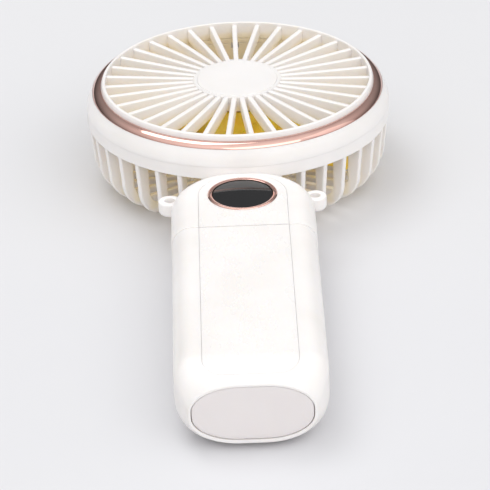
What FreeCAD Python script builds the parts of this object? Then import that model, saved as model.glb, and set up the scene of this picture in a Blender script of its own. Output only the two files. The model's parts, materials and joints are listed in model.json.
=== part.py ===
"""Rechargeable hand-held fan: a caged round head, a neck with the power button, and a folding handle.

The origin lies on the fan's axis, in the plane that the fan lies on. +Z points out of the front
grille, the handle runs along -Y and +X is to the right as seen from the front. Millimetres.
"""
import FreeCAD
import Part
import math
import os

Vector = FreeCAD.Vector
X_AXIS = Vector(1, 0, 0)
Y_AXIS = Vector(0, 1, 0)
Z_AXIS = Vector(0, 0, 1)
ORIGIN = Vector(0, 0, 0)

# ---- clearances ----
fit_gap = 0.10            # between pieces that slip together
line_gap = 0.10           # width of the fine line round an inset panel
running_gap = 0.05        # radial clearance of a turning or sliding fit
press_gap = 0.02          # radial clearance of a pressed or glued fit
seat_gap = 0.05           # between a piece and the face that it stands on
through_cut = 1.0         # how far a cutting tool runs past the face that it opens

# ---- head ----
head_radius = 45.0        # widest, at the seam between the front shell and the cage
front_shell_width = 2.12  # of the white band outside the trim ring, seen from the front
front_shell_bulge = 0.45
front_shell_drop = 4.83   # from the trim ring's edge down to the seam
trim_width = 2.58
trim_drop = 1.57          # from the trim ring's inner edge down to its outer one
rim_width = 1.3
trim_outer_radius = head_radius - front_shell_width
rim_outer_radius = trim_outer_radius - trim_width
rim_inner_radius = rim_outer_radius - rim_width
shell_wall = 1.8

rim_crest_z = 32.0        # highest ring of the front grille
rim_drop = 1.5            # from the crest down to the rim's outer edge
rim_outer_z = rim_crest_z - rim_drop
trim_outer_z = rim_outer_z - trim_drop
seam_z = trim_outer_z - front_shell_drop   # seam between the front shell and the cage
seam_line = 0.10
rim_inner_chamfer = 0.3
rim_outer_chamfer = 0.4
rim_outer_slope = 0.13    # how far that chamfer falls
grille_rib_count = 35
grille_first_angle = 90.0
grille_rib_width = 1.2
grille_rib_sunk = 0.9     # the ribs' fronts lie this much under the crest
grille_rib_top_z = rim_crest_z - grille_rib_sunk
grille_depth = 4.5
grille_bottom_z = grille_rib_top_z - grille_depth
grille_rib_edge = 0.2     # chamfer of a rib's front edges
grille_hub_radius = 13.0
grille_hub_proud = 0.1    # the hub's face stands this much over the ribs
grille_hub_face = 1.4
grille_skirt_wall = 1.2
cap_radius = grille_hub_radius - grille_skirt_wall
cap_thickness = 0.8
cap_proud = 0.12

trim_bulge = 0.35
trim_thickness = 1.1
trim_edge_share = 0.6     # the ring's outer edge is this share of its thickness
trim_line = 0.08

spigot_depth = 1.6        # how far the front shell reaches into the cage
spigot_wall = 1.2
duct_gap = 0.05           # the ledge and the cage's duct ring stand this far outside the rim's inner wall
ledge_thickness = 1.4

cage_rib_count = 38
cage_rib_width = 1.3
cage_band_step = 0.3      # the band lies this much inside the head's widest line
cage_band_depth = 3.8     # from the seam down to the slots
cage_side_draft = 1.15    # how much the side leans in from the band down to the turn
cage_turn_width = 6.95    # from the side in to where the back begins
cage_rib_depth = 5.15     # of a side rib, from its outer to its inner edge
cage_band_radius = head_radius - cage_band_step
cage_slot_top_z = seam_z - cage_band_depth
cage_side_radius = cage_band_radius - cage_side_draft
cage_side_z = 12.2        # where the side turns into the back
cage_corner_radius = cage_side_radius - cage_turn_width
cage_corner_z = 2.1
cage_corner_bulge = 1.9
cage_rib_set_back = 0.12  # the ribs start this much inside the band's face
cage_seat_inset = 0.15    # the neck's seat lies this much inside the ribs' faces
cage_band_wall = 1.6
cage_inner_radius = cage_side_radius - cage_rib_depth
cage_inner_turn_z = 9.0
cage_inner_slope = 3.8    # width of the slope from the inner side down to the floor
cage_floor_outer_radius = cage_inner_radius - cage_inner_slope
cage_floor_z = 5.2
cage_hub_radius = 17.0
cage_hub_thickness = 3.2
duct_wall = 1.3
duct_reach = 0.8          # how far the duct ring reaches down past the slots' top
duct_notch_width = 2.5    # in its upper edge, at the top of the head
duct_notch_depth = 1.9
neck_seat_ribs = 6        # the neck's seat spans this many half pitches of the ribs

# ---- impeller and motor ----
blade_count = 5
blade_tip_gap = 1.1
blade_front_gap = 4.2     # between the grille's back and the blades
blade_back_gap = 0.6      # between the blades and the turn of the cage's inner side
blade_top_z = grille_bottom_z - blade_front_gap
blade_bottom_z = cage_inner_turn_z + blade_back_gap
blade_root_pitch = 48.0   # degrees from the plane of the disc
blade_tip_pitch = 29.0
blade_camber = 1.3
blade_root_thickness = 1.6
blade_tip_thickness = 1.0
blade_edge = 0.5          # thickness left at a blade's edges
blade_section_count = 3
blade_first_angle = -90.0
impeller_hub_step = 0.5   # its hub is this much smaller than the grille's
impeller_front_gap = 0.7
impeller_back_gap = 3.4
impeller_hub_radius = grille_hub_radius - impeller_hub_step
impeller_hub_top_z = grille_bottom_z - impeller_front_gap
impeller_hub_bottom_z = cage_floor_z + impeller_back_gap
impeller_hub_wall = 1.4
impeller_hub_edge = 0.8
impeller_boss_radius = 2.6
impeller_boss_depth = 3.4
hub_ceiling_z = impeller_hub_top_z - impeller_hub_wall

rotor_cup_wall = 0.7
magnet_thickness = 1.2
air_gap = 0.35
shaft_radius = 1.0
bush_radius = 2.4
bush_length = 4.0
bearing_tube_wall = 0.7
bearing_tube_gap = 0.7    # between the tube's end and the impeller's boss
bearing_tube_radius = bush_radius + bearing_tube_wall
bearing_tube_top_z = hub_ceiling_z - impeller_boss_depth - bearing_tube_gap
base_flange_radius = 10.4
base_flange_thickness = 1.0
base_bottom_z = cage_hub_thickness + seat_gap
base_top_z = base_bottom_z + base_flange_thickness
base_screw_inset = 2.0
base_screw_circle = base_flange_radius - base_screw_inset
base_screw_count = 3
base_screw_first_angle = 90.0
base_screw_length = 2.6
base_screw_hole_depth = 2.0   # of the blind holes in the cage's hub
motor_board_radius = 8.6
motor_board_stand = 2.35  # over the base's flange
motor_board_z = base_top_z + motor_board_stand
board_thickness = 1.2
stator_stand = 2.6        # over the motor board
stator_bottom_z = motor_board_z + board_thickness + stator_stand
stator_height = 8.2
stator_top_z = stator_bottom_z + stator_height
magnet_shift = 0.2        # the magnet starts this much over the stator's lower end
magnet_overrun = 0.4      # it is this much longer than the stator
magnet_height = stator_height + magnet_overrun
stator_pole_count = 6
stator_yoke_wall = 1.3
stator_core_radius = bearing_tube_radius + stator_yoke_wall
stator_pole_width = 1.5
stator_shoe_depth = 1.0
stator_shoe_angle = 42.0  # degrees of arc covered by each pole shoe
winding_overhang = 0.8
winding_gap = 0.15
winding_thickness = 0.8

# ---- neck and handle ----
cell_radius = 9.2
cell_clear = 0.25         # under the cell
cell_headroom = 0.55      # between the cell and the handle panel
body_wall = 1.8
panel_thickness = 2.0
body_thickness = body_wall + cell_clear + 2 * cell_radius + cell_headroom + panel_thickness
front_corner = 5.6
back_corner = 11.2
body_half_width = 20.0
seam_step = 0.2           # the neck stands this much proud of the handle at each side
neck_reach = 3.0          # how far the neck reaches in under the head's edge
neck_length = 33.0        # from the head's edge to the fold seam
neck_top_half = 2.0       # of the short straight edge at the neck's top
neck_top_y = neck_reach - head_radius
neck_shoulder_radius = body_half_width - neck_top_half
seam_y = -head_radius - neck_length   # fold seam between neck and handle
seam_gap = 0.3
cavity_chamfer = 6.2      # slope between a cavity's floor and its sides
panel_margin = 7.6        # of shell beside an inset panel
panel_half_width = body_half_width - panel_margin
panel_ledge = 1.5
panel_frame = 1.4         # thickness of the shell's ledge below a panel
panel_floor_z = body_thickness - panel_thickness
cavity_top_z = panel_floor_z - panel_frame

eyelet_stand = 0.6        # its middle lies this much outside the body's side
eyelet_drop = 7.5         # below the head's edge
eyelet_sunk = 4.5         # under the front face
eyelet_x = body_half_width + eyelet_stand
eyelet_y = -head_radius - eyelet_drop
eyelet_radius = 3.2
eyelet_hole_radius = 1.5
eyelet_top_z = body_thickness - eyelet_sunk
eyelet_thickness = 4.2
eyelet_rounding = 1.4     # of the lower edge

# ---- power button ----
button_drop = 14.0        # below the head's edge
button_y = -head_radius - button_drop
bezel_margin = 2.57       # between the bezel and the panel's edge
bezel_width = 1.21
bezel_radius = panel_half_width - bezel_margin
bezel_inner_radius = bezel_radius - bezel_width
bezel_crown = 0.3         # its flat crown keeps this share of the width clear at each side
bezel_proud = 0.4
bezel_inner_proud = 0.16
bezel_flange = 0.7        # how far the bezel's rim overlaps the panel
bezel_sleeve_depth = 2.6
button_dome = 0.55
button_edge_proud = 0.05
button_gap = 0.07         # radial clearance in the bezel
button_flange_inset = 0.53
button_flange_radius = bezel_radius - button_flange_inset
button_flange_thickness = 0.8
button_lift = 0.1         # play between the button's flange and the bezel's sleeve
button_stem_radius = 1.6
switch_size = 6.0
switch_height = 3.4
plunger_radius = 1.5
plunger_height = 1.6
plunger_stand = 0.8       # how far the plunger stands out of the switch
plunger_well = 0.8        # room under the plunger
board_sunk = 9.4          # under the front face
board_side_room = 6.5
board_top_z = body_thickness - board_sunk
control_board_half_width = body_half_width - board_side_room
control_board_length = 21.0
board_corner = 2.0
board_post_radius = 2.2
board_post_inset = 3.1
board_post_x = control_board_half_width - board_post_inset
board_screw_length = 4.5
board_screw_hole_depth = 6.0
led_count = 4
led_pitch = 2.6
led_offset_y = 5.4
led_width = 1.6
led_depth = 0.8
led_height = 0.6

# ---- screws ----
screw_radius = 0.8
screw_head_radius = 1.5
screw_head_height = 0.9
neck_screw_x = 6.0
neck_screw_z = 8.6
neck_screw_length = 6.5
neck_screw_stand = 1.05   # of the wall left under its head
neck_screw_head_y = -cage_side_radius - body_wall - neck_screw_stand

# ---- fold hinge ----
barrel_radius = 3.5
pin_radius = 1.2
barrel_clear = 0.25
centre_knuckle_half = 6.2
knuckle_gap = 0.2
outer_knuckle_end = 10.8
hinge_block = 1.3         # wall left round the barrel inside the housings

# ---- what the handle holds, from the hinge down to the end plate ----
usb_width = 8.94
usb_height = 3.26
usb_depth = 7.35
usb_corner = 1.2
usb_wall = 0.3
usb_end_wall = 1.2
usb_tongue_half = 0.35
usb_side_room = 1.1       # beside the contact tongue
usb_tongue_sunk = 0.8     # the tongue starts this far inside the mouth
usb_sunk = 0.5            # the socket's mouth lies this far inside the back face
contact_size = 12.0
contact_thickness = 0.4
cell_length = 65.0
cell_nub_radius = 3.0
cell_nub_height = 0.8
cell_end_room = 1.19
contact_room = 0.4        # between the charging socket and the front contact
charge_board_rise = 1.4   # over the cavity's floor
charge_board_headroom = 0.4
charge_board_corner_room = 0.6   # to the slopes beside the floor
charge_board_half_width = (body_half_width - body_wall - cavity_chamfer + charge_board_rise
                           - charge_board_corner_room)
plate_thickness = 2.0
plate_seat_thickness = 1.4
block_end_y = seam_y - barrel_radius - barrel_clear - hinge_block
board_y = block_end_y - fit_gap
socket_y = board_y - board_thickness
front_contact_y = socket_y - usb_height - contact_room
cell_front_y = front_contact_y - contact_thickness - seat_gap
cell_end_y = cell_front_y - cell_length
cell_z = body_wall + cell_clear + cell_radius
cavity_end_y = cell_end_y - seat_gap - contact_thickness - cell_end_room
plate_inner_y = cavity_end_y - plate_seat_thickness

# ---- handle end ----
handle_end_y = plate_inner_y - plate_thickness
end_rounding = 11.0       # length of the rounded end
end_turn = 34.0           # degrees that its sides have turned where they meet the plate
end_section_count = 7
plate_side_inset = 4.4    # from the body's sides to the end plate
plate_back_inset = 3.7
plate_front_inset = 4.0
plate_half_width = body_half_width - plate_side_inset
plate_low_z = plate_back_inset
plate_high_z = body_thickness - plate_front_inset
plate_corner_x = 12.2
plate_corner_z = 6.8
plate_gap = 0.2
plate_rim = 0.8           # of shell round the plate
mouth_edge = 0.5          # slope of that rim in to the plate
plate_bevel_width = 1.5
plate_bevel_depth = 0.25
panel_end_margin = 3.0    # from the end plate to the panel's end
panel_end_corner = 5.0
panel_foot_depth = 1.0    # the panel's end reaches this much deeper, beyond the cell
handle_panel_end_y = handle_end_y + panel_end_margin


# ---- helpers ----
def blend(start, end, share):
    return start + (end - start) * share


def disc(radius, low_z, high_z, x=0.0, y=0.0):
    return Part.makeCylinder(radius, high_z - low_z, Vector(x, y, low_z), Z_AXIS)


def tube(outer_radius, inner_radius, low_z, high_z, x=0.0, y=0.0):
    hole = disc(inner_radius, low_z - through_cut, high_z + through_cut, x, y)
    return disc(outer_radius, low_z, high_z, x, y).cut(hole)


def box(low_x, high_x, low_y, high_y, low_z, high_z):
    return Part.makeBox(high_x - low_x, high_y - low_y, high_z - low_z, Vector(low_x, low_y, low_z))


def bar_x(radius, low_x, high_x):
    """A round bar on the hinge axis."""
    return Part.makeCylinder(radius, high_x - low_x, Vector(low_x, seam_y, barrel_radius), X_AXIS)


def outline(start, *steps):
    """A closed edge loop. A step is an end point, or a middle and an end point for an arc."""
    edges = []
    here = start
    for step in steps + (start,):
        if isinstance(step, tuple):
            middle, end = step
            edges.append(Part.Arc(here, middle, end).toShape())
        else:
            end = step
            if end.distanceToPoint(here) > 1e-6:
                edges.append(Part.LineSegment(here, end).toShape())
        here = end
    return Part.Wire(edges)


def point_rz(radius, z):
    return Vector(radius, 0, z)


def revolve(wire, angle=360.0):
    return Part.Face(wire).revolve(ORIGIN, Z_AXIS, angle)


def bulge_point(start, end, bulge):
    """The middle of an arc from start to end in the XZ plane, bulging away from the axis."""
    chord = end.sub(start)
    normal = Vector(-chord.z, 0, chord.x).normalize()
    if normal.x < 0:
        normal = normal.negative()
    return start.add(end).multiply(0.5).add(normal.multiply(bulge))


def ring_of(shape, count, first_angle=0.0):
    """Copies of a shape turned about the fan's axis."""
    copies = []
    for index in range(count):
        copy = shape.copy()
        copy.rotate(ORIGIN, Z_AXIS, first_angle + index * 360.0 / count)
        copies.append(copy)
    return copies


def one_solid(shape):
    """The refined shape as a bare solid when it holds only one."""
    clean = shape.removeSplitter()
    return clean.Solids[0] if len(clean.Solids) == 1 else clean


def screw_down(x, y, head_z, length):
    """A pan-head screw along -Z whose head sits on head_z."""
    head = disc(screw_head_radius, head_z, head_z + screw_head_height, x, y)
    return one_solid(head.fuse(disc(screw_radius, head_z - length, head_z + seat_gap, x, y)))


# ---- head: grille, trim and shells ----
def front_grille():
    rim = revolve(outline(
        point_rz(rim_inner_radius, grille_bottom_z),
        point_rz(rim_inner_radius, rim_crest_z - rim_inner_chamfer),
        point_rz(rim_inner_radius + rim_inner_chamfer, rim_crest_z),
        point_rz(rim_outer_radius - rim_outer_chamfer, rim_crest_z - rim_outer_slope),
        point_rz(rim_outer_radius, rim_outer_z),
        point_rz(rim_outer_radius, grille_bottom_z),
    ))
    hub = disc(grille_hub_radius, grille_bottom_z, grille_rib_top_z + grille_hub_proud)
    hollow_top_z = grille_rib_top_z - grille_hub_face
    hub = hub.cut(disc(grille_hub_radius - grille_skirt_wall, grille_bottom_z - through_cut, hollow_top_z))
    cap_seat_z = grille_rib_top_z + grille_hub_proud + cap_proud - cap_thickness
    hub = hub.cut(disc(cap_radius + seat_gap, cap_seat_z, grille_rib_top_z + through_cut))
    half = grille_rib_width / 2
    start = grille_hub_radius - grille_skirt_wall / 2
    section = outline(
        Vector(start, -half, grille_bottom_z + seat_gap),
        Vector(start, half, grille_bottom_z + seat_gap),
        Vector(start, half, grille_rib_top_z - grille_rib_edge),
        Vector(start, half - grille_rib_edge, grille_rib_top_z),
        Vector(start, grille_rib_edge - half, grille_rib_top_z),
        Vector(start, -half, grille_rib_top_z - grille_rib_edge),
    )
    reach = (rim_inner_radius + rim_outer_radius) / 2 - start
    rib = Part.Face(section).extrude(Vector(reach, 0, 0))
    ribs = ring_of(rib, grille_rib_count, grille_first_angle)
    return one_solid(rim.fuse([hub] + ribs))


def grille_cap():
    top_z = grille_rib_top_z + grille_hub_proud + cap_proud
    cap = disc(cap_radius, top_z - cap_thickness + seat_gap, top_z)
    top_edges = [edge for edge in cap.Edges if abs(edge.BoundBox.ZMin - top_z) < 1e-6]
    return one_solid(cap.makeChamfer(cap_proud, top_edges))


def trim_ring():
    inner = point_rz(rim_outer_radius + trim_line, rim_outer_z - trim_line)
    outer = point_rz(trim_outer_radius, trim_outer_z)
    return revolve(outline(
        inner,
        (bulge_point(inner, outer, trim_bulge), outer),
        outer.add(Vector(0, 0, -trim_edge_share * trim_thickness)),
        inner.add(Vector(0, 0, -trim_thickness)),
    ))


def front_shell():
    inner_radius = rim_outer_radius + fit_gap
    spigot_radius = cage_band_radius - cage_band_wall - fit_gap
    spigot_inner = spigot_radius - spigot_wall
    top = point_rz(trim_outer_radius + trim_line, trim_outer_z)
    bottom = point_rz(head_radius, seam_z + seam_line)
    ledge_z = grille_bottom_z
    trim_edge_z = trim_outer_z - trim_edge_share * trim_thickness
    return one_solid(revolve(outline(
        top,
        (bulge_point(top, bottom, front_shell_bulge), bottom),
        point_rz(spigot_radius, seam_z + seam_line),
        point_rz(spigot_radius, seam_z - spigot_depth),
        point_rz(spigot_inner, seam_z - spigot_depth),
        point_rz(spigot_inner, ledge_z - ledge_thickness),
        point_rz(rim_inner_radius + duct_gap, ledge_z - ledge_thickness),
        point_rz(rim_inner_radius + duct_gap, ledge_z - seat_gap),
        point_rz(inner_radius, ledge_z - seat_gap),
        point_rz(inner_radius, rim_outer_z - trim_thickness - 2 * trim_line),
        point_rz(trim_outer_radius + trim_line, trim_edge_z - 2 * trim_line),
    )))


def cage_outer_steps(grow):
    """The cage's side and back from the seam down to the hub's edge, moved outward by grow."""
    side = point_rz(cage_side_radius + grow, cage_side_z)
    corner = point_rz(cage_corner_radius + grow, cage_corner_z - grow)
    hub_edge = point_rz(cage_hub_radius, -grow)
    return [
        point_rz(cage_band_radius + grow, seam_z),
        point_rz(cage_band_radius + grow, cage_slot_top_z),
        side,
        (bulge_point(side, corner, cage_corner_bulge), corner),
        hub_edge,
    ]


def cage_section(inset):
    """The side and back wall of the cage as one section, from the slots' top to inside the hub."""
    inner_start = cage_hub_radius - shell_wall
    outer = cage_outer_steps(-inset)
    inner_radius = cage_inner_radius + inset
    floor_z = cage_floor_z - inset
    return outline(
        point_rz(inner_radius, cage_slot_top_z),
        point_rz(cage_band_radius - cage_rib_set_back - inset, cage_slot_top_z),
        *outer[2:],
        point_rz(inner_start, inset),
        point_rz(inner_start, cage_hub_thickness - inset),
        point_rz(cage_floor_outer_radius, floor_z),
        point_rz(inner_radius, cage_inner_turn_z),
    )


def rear_cage():
    section = Part.Face(cage_section(0.0))
    section.translate(Vector(0, -cage_rib_width / 2, 0))
    rib = section.extrude(Vector(0, cage_rib_width, 0))
    half_pitch = 180.0 / cage_rib_count
    ribs = ring_of(rib, cage_rib_count, -90.0 + half_pitch)
    band = tube(cage_band_radius, cage_band_radius - cage_band_wall, cage_slot_top_z, seam_z)
    hub = disc(cage_hub_radius, 0, cage_hub_thickness)
    duct_radius = rim_inner_radius + duct_gap
    duct_top_z = grille_bottom_z - ledge_thickness - fit_gap
    duct = tube(duct_radius + duct_wall, duct_radius, cage_slot_top_z - duct_reach, duct_top_z)
    notch_half = duct_notch_width / 2
    duct = duct.cut(box(-notch_half, notch_half, 0, head_radius, duct_top_z - duct_notch_depth,
                        duct_top_z + through_cut))
    neck_seat = revolve(cage_section(cage_seat_inset), neck_seat_ribs * half_pitch)
    neck_seat.rotate(ORIGIN, Z_AXIS, -90.0 - neck_seat_ribs * half_pitch / 2)
    neck_seat = neck_seat.common(box(-head_radius, head_radius, -head_radius, -cage_floor_outer_radius,
                                     0, cage_slot_top_z))
    cage = band.fuse([hub, duct, neck_seat] + ribs)
    for x, y in base_screw_places():
        cage = cage.cut(disc(screw_radius + press_gap, cage_hub_thickness - base_screw_hole_depth,
                             cage_floor_z, x, y))
    for side in (-1, 1):
        cage = cage.cut(neck_screw_hole(side * neck_screw_x, screw_radius + press_gap))
    return one_solid(cage)


def base_screw_places():
    places = []
    for index in range(base_screw_count):
        angle = math.radians(base_screw_first_angle + index * 360.0 / base_screw_count)
        places.append((base_screw_circle * math.cos(angle), base_screw_circle * math.sin(angle)))
    return places


# ---- motor ----
rotor_radius = impeller_hub_radius - impeller_hub_wall - press_gap
magnet_radius = rotor_radius - rotor_cup_wall - press_gap
stator_radius = magnet_radius - magnet_thickness - air_gap


def motor_base():
    flange = disc(base_flange_radius, base_bottom_z, base_top_z)
    post = disc(bearing_tube_radius, base_bottom_z, bearing_tube_top_z)
    step = disc(stator_core_radius, base_bottom_z, motor_board_z - seat_gap)
    bore = disc(bush_radius + press_gap, base_top_z, bearing_tube_top_z + through_cut)
    base = flange.fuse([post, step]).cut(bore)
    for x, y in base_screw_places():
        base = base.cut(disc(screw_radius + fit_gap, 0, base_top_z + through_cut, x, y))
    return one_solid(base)


def motor_screws():
    return Part.Compound([screw_down(x, y, base_top_z + seat_gap, base_screw_length)
                          for x, y in base_screw_places()])


def shaft_bushes():
    bore = shaft_radius + running_gap
    low = tube(bush_radius, bore, base_top_z + seat_gap, base_top_z + bush_length)
    high = tube(bush_radius, bore, bearing_tube_top_z - bush_length, bearing_tube_top_z)
    return Part.Compound([low, high])


def motor_board():
    inner_radius = bearing_tube_radius + press_gap
    return tube(motor_board_radius, inner_radius, motor_board_z, motor_board_z + board_thickness)


def pole_sector(inner_radius, outer_radius, angle, low_z, high_z):
    ring = tube(outer_radius, inner_radius, low_z, high_z)
    wedge = Part.makeCylinder(outer_radius + through_cut, high_z - low_z, Vector(0, 0, low_z), Z_AXIS, angle)
    wedge.rotate(ORIGIN, Z_AXIS, -angle / 2)
    return ring.common(wedge)


def stator_core():
    low_z = stator_bottom_z + winding_overhang
    high_z = stator_top_z - winding_overhang
    yoke = tube(stator_core_radius, bearing_tube_radius + press_gap, low_z, high_z)
    shoe = pole_sector(stator_radius - stator_shoe_depth, stator_radius, stator_shoe_angle, low_z, high_z)
    half = stator_pole_width / 2
    arm = box(stator_core_radius - fit_gap, stator_radius - fit_gap, -half, half, low_z, high_z)
    pole = arm.fuse(shoe)
    return one_solid(yoke.fuse(ring_of(pole, stator_pole_count)))


def stator_windings():
    half = stator_pole_width / 2 + winding_thickness
    inner = stator_core_radius + winding_gap
    shoe_inner = stator_radius - stator_shoe_depth
    outer = math.sqrt(shoe_inner * shoe_inner - half * half) - winding_gap
    coil = box(inner, outer, -half, half, stator_bottom_z, stator_top_z)
    slot_half = stator_pole_width / 2 + press_gap
    slot = box(inner - through_cut, outer + through_cut, -slot_half, slot_half,
               stator_bottom_z + winding_overhang - press_gap, stator_top_z - winding_overhang + press_gap)
    return Part.Compound(ring_of(coil.cut(slot), stator_pole_count))


def motor_shaft():
    return disc(shaft_radius, base_top_z + seat_gap, hub_ceiling_z)


def rotor_cup():
    low_z = stator_bottom_z
    top_z = hub_ceiling_z - seat_gap
    cup = disc(rotor_radius, low_z, top_z)
    cup = cup.cut(disc(rotor_radius - rotor_cup_wall, low_z - through_cut, top_z - rotor_cup_wall))
    return one_solid(cup.cut(disc(impeller_boss_radius + fit_gap, low_z, top_z + through_cut)))


def magnet_ring():
    low_z = stator_bottom_z + magnet_shift
    return tube(magnet_radius, magnet_radius - magnet_thickness, low_z, low_z + magnet_height)


# ---- impeller ----
blade_tip_radius = cage_inner_radius - blade_tip_gap


def blade_section(radius, share):
    """One section of a blade in the plane x = radius; share runs from 0 at the root to 1 at the tip."""
    pitch = math.radians(blade_root_pitch + (blade_tip_pitch - blade_root_pitch) * share)
    half_thickness = (blade_root_thickness + (blade_tip_thickness - blade_root_thickness) * share) / 2
    half_height = (blade_top_z - blade_bottom_z) / 2 - blade_edge
    middle_z = (blade_top_z + blade_bottom_z) / 2
    along = Vector(0, math.cos(pitch), math.sin(pitch))
    across = Vector(0, -math.sin(pitch), math.cos(pitch))
    half_chord = half_height / math.sin(pitch)
    centre = Vector(radius, 0, middle_z)

    def place(chord, height):
        return centre.add(Vector(along).multiply(chord)).add(Vector(across).multiply(height))

    edge = blade_edge / 2
    return outline(
        place(-half_chord, -edge),
        (place(0, blade_camber - half_thickness), place(half_chord, -edge)),
        place(half_chord, edge),
        (place(0, blade_camber + half_thickness), place(-half_chord, edge)),
    )


def blade():
    first = impeller_hub_radius - impeller_hub_wall
    last = blade_tip_radius + through_cut
    sections = []
    for index in range(blade_section_count):
        share = index / (blade_section_count - 1)
        sections.append(blade_section(first + (last - first) * share, share))
    shape = Part.makeLoft(sections, True, False)
    return shape.common(disc(blade_tip_radius, impeller_hub_bottom_z, impeller_hub_top_z))


def impeller():
    hub = disc(impeller_hub_radius, impeller_hub_bottom_z, impeller_hub_top_z)
    top_edges = [edge for edge in hub.Edges if edge.BoundBox.ZMin > impeller_hub_top_z - 0.01]
    hub = hub.makeChamfer(impeller_hub_edge, top_edges)
    hollow_radius = impeller_hub_radius - impeller_hub_wall
    hollow = disc(hollow_radius, impeller_hub_bottom_z - through_cut, hub_ceiling_z)
    blades = [shape.cut(hollow) for shape in ring_of(blade(), blade_count, blade_first_angle)]
    boss_low_z = hub_ceiling_z - impeller_boss_depth
    boss = disc(impeller_boss_radius, boss_low_z, impeller_hub_top_z - impeller_hub_wall / 2)
    wheel = hub.cut(hollow).fuse([boss] + blades)
    return one_solid(wheel.cut(disc(shaft_radius, boss_low_z - through_cut, hub_ceiling_z)))


# ---- neck ----
neck_half_width = body_half_width + seam_step
neck_end_y = seam_y + seam_gap / 2
handle_start_y = seam_y - seam_gap / 2


def tongue(inset, bottom_y, low_z, high_z):
    """The neck's plan, a strip with a rounded top, moved inward by inset."""
    radius = neck_shoulder_radius - inset
    half = neck_half_width - inset
    top = neck_top_y - inset
    flat = half - radius
    shoulder_y = top - radius
    turn = radius * math.sqrt(0.5)
    wire = outline(
        Vector(half, bottom_y, low_z),
        Vector(half, shoulder_y, low_z),
        (Vector(flat + turn, shoulder_y + turn, low_z), Vector(flat, top, low_z)),
        Vector(-flat, top, low_z),
        (Vector(-flat - turn, shoulder_y + turn, low_z), Vector(-half, shoulder_y, low_z)),
        Vector(-half, bottom_y, low_z),
    )
    return Part.Face(wire).extrude(Vector(0, 0, high_z - low_z))


def edges_at(shape, z, end_y):
    """The shape's edges at height z, without the one along its end face."""
    found = []
    for edge in shape.Edges:
        bounds = edge.BoundBox
        level = abs(bounds.ZMin - z) < 1e-6 and abs(bounds.ZMax - z) < 1e-6
        at_end = abs(bounds.YMin - end_y) < 1e-6 and abs(bounds.YMax - end_y) < 1e-6
        if level and not at_end:
            found.append(edge)
    return found


def head_envelope(grow):
    """The head's outside as one solid, for trimming what stands against it."""
    return revolve(outline(point_rz(0, rim_crest_z), point_rz(head_radius + grow, rim_crest_z),
                           *cage_outer_steps(grow), point_rz(0, -grow)))


def panel_plan(half_width, low_z, high_z):
    """The neck panel's plan: straight sides and a round top about the button."""
    straight = box(-half_width, half_width, neck_end_y, button_y, low_z, high_z)
    return straight.fuse(disc(half_width, low_z, high_z, 0, button_y)).removeSplitter()


def neck_cavity():
    hollow = tongue(body_wall, neck_end_y + body_wall, body_wall, cavity_top_z)
    hollow = hollow.makeChamfer(cavity_chamfer, edges_at(hollow, body_wall, neck_end_y + body_wall))
    hollow = hollow.cut(head_envelope(body_wall))
    block_y = seam_y + barrel_radius + seam_gap / 2 + hinge_block
    block_z = 2 * barrel_radius + barrel_clear + hinge_block
    return hollow.cut(box(-head_radius, head_radius, seam_y, block_y, 0, block_z))


def board_post_places():
    return [(side * board_post_x, button_y) for side in (-1, 1)]


def neck_screw_hole(x, radius):
    start = Vector(x, neck_screw_head_y, neck_screw_z)
    return Part.makeCylinder(radius, neck_screw_length + through_cut, start, Y_AXIS)


def eyelet(x):
    """A round lug for a lanyard, its lower edge rounded off."""
    low_z = eyelet_top_z - eyelet_thickness
    lug = disc(eyelet_radius, low_z, eyelet_top_z, x, eyelet_y)
    return lug.makeFillet(eyelet_rounding, [edge for edge in lug.Edges if edge.BoundBox.ZMax < low_z + 0.01])


def neck_shell():
    shell = tongue(0.0, neck_end_y, 0, body_thickness)
    shell = shell.makeFillet(front_corner, edges_at(shell, body_thickness, neck_end_y))
    shell = shell.makeFillet(back_corner, edges_at(shell, 0, neck_end_y))
    shell = shell.fuse([eyelet(-eyelet_x), eyelet(eyelet_x)]).cut(neck_cavity())
    for side in (-1, 1):
        shell = shell.cut(disc(eyelet_hole_radius, 0, body_thickness, side * eyelet_x, eyelet_y))
        shell = shell.cut(neck_screw_hole(side * neck_screw_x, screw_radius + fit_gap))
    shell = shell.cut(head_envelope(seat_gap))
    shell = shell.cut(panel_plan(panel_half_width + line_gap, panel_floor_z, body_thickness + through_cut))
    window_half = panel_half_width - panel_ledge
    window_low_z = cavity_top_z - seat_gap
    window_high_z = panel_floor_z + seat_gap
    window = box(-window_half, window_half, neck_end_y + 2 * body_wall, button_y,
                 window_low_z, window_high_z)
    shell = shell.cut(window.fuse(disc(window_half, window_low_z, window_high_z, 0, button_y)))
    for x, y in board_post_places():
        post = disc(board_post_radius, body_wall / 2, board_top_z - board_thickness - seat_gap, x, y)
        shell = shell.fuse(post)
        hole_low_z = board_top_z - board_screw_hole_depth
        shell = shell.cut(disc(screw_radius + press_gap, hole_low_z, board_top_z, x, y))
    # the fold hinge: a notch for the swinging handle, room for its knuckle, and the neck's own pair
    shell = shell.cut(box(-head_radius, head_radius, seam_y - through_cut,
                          seam_y + barrel_radius + seam_gap / 2, -through_cut, barrel_radius))
    reach = centre_knuckle_half + knuckle_gap
    shell = shell.cut(bar_x(barrel_radius + barrel_clear, -reach, reach))
    for low_x in (reach, -outer_knuckle_end):
        shell = shell.fuse(bar_x(barrel_radius, low_x, low_x + outer_knuckle_end - reach))
    bore_end = outer_knuckle_end + through_cut
    shell = shell.cut(bar_x(pin_radius + press_gap, -bore_end, bore_end))
    return one_solid(shell)


def neck_panel():
    panel = panel_plan(panel_half_width, panel_floor_z, body_thickness)
    hole_radius = bezel_radius - bezel_flange + fit_gap
    return one_solid(panel.cut(disc(hole_radius, 0, body_thickness + through_cut, 0, button_y)))


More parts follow.
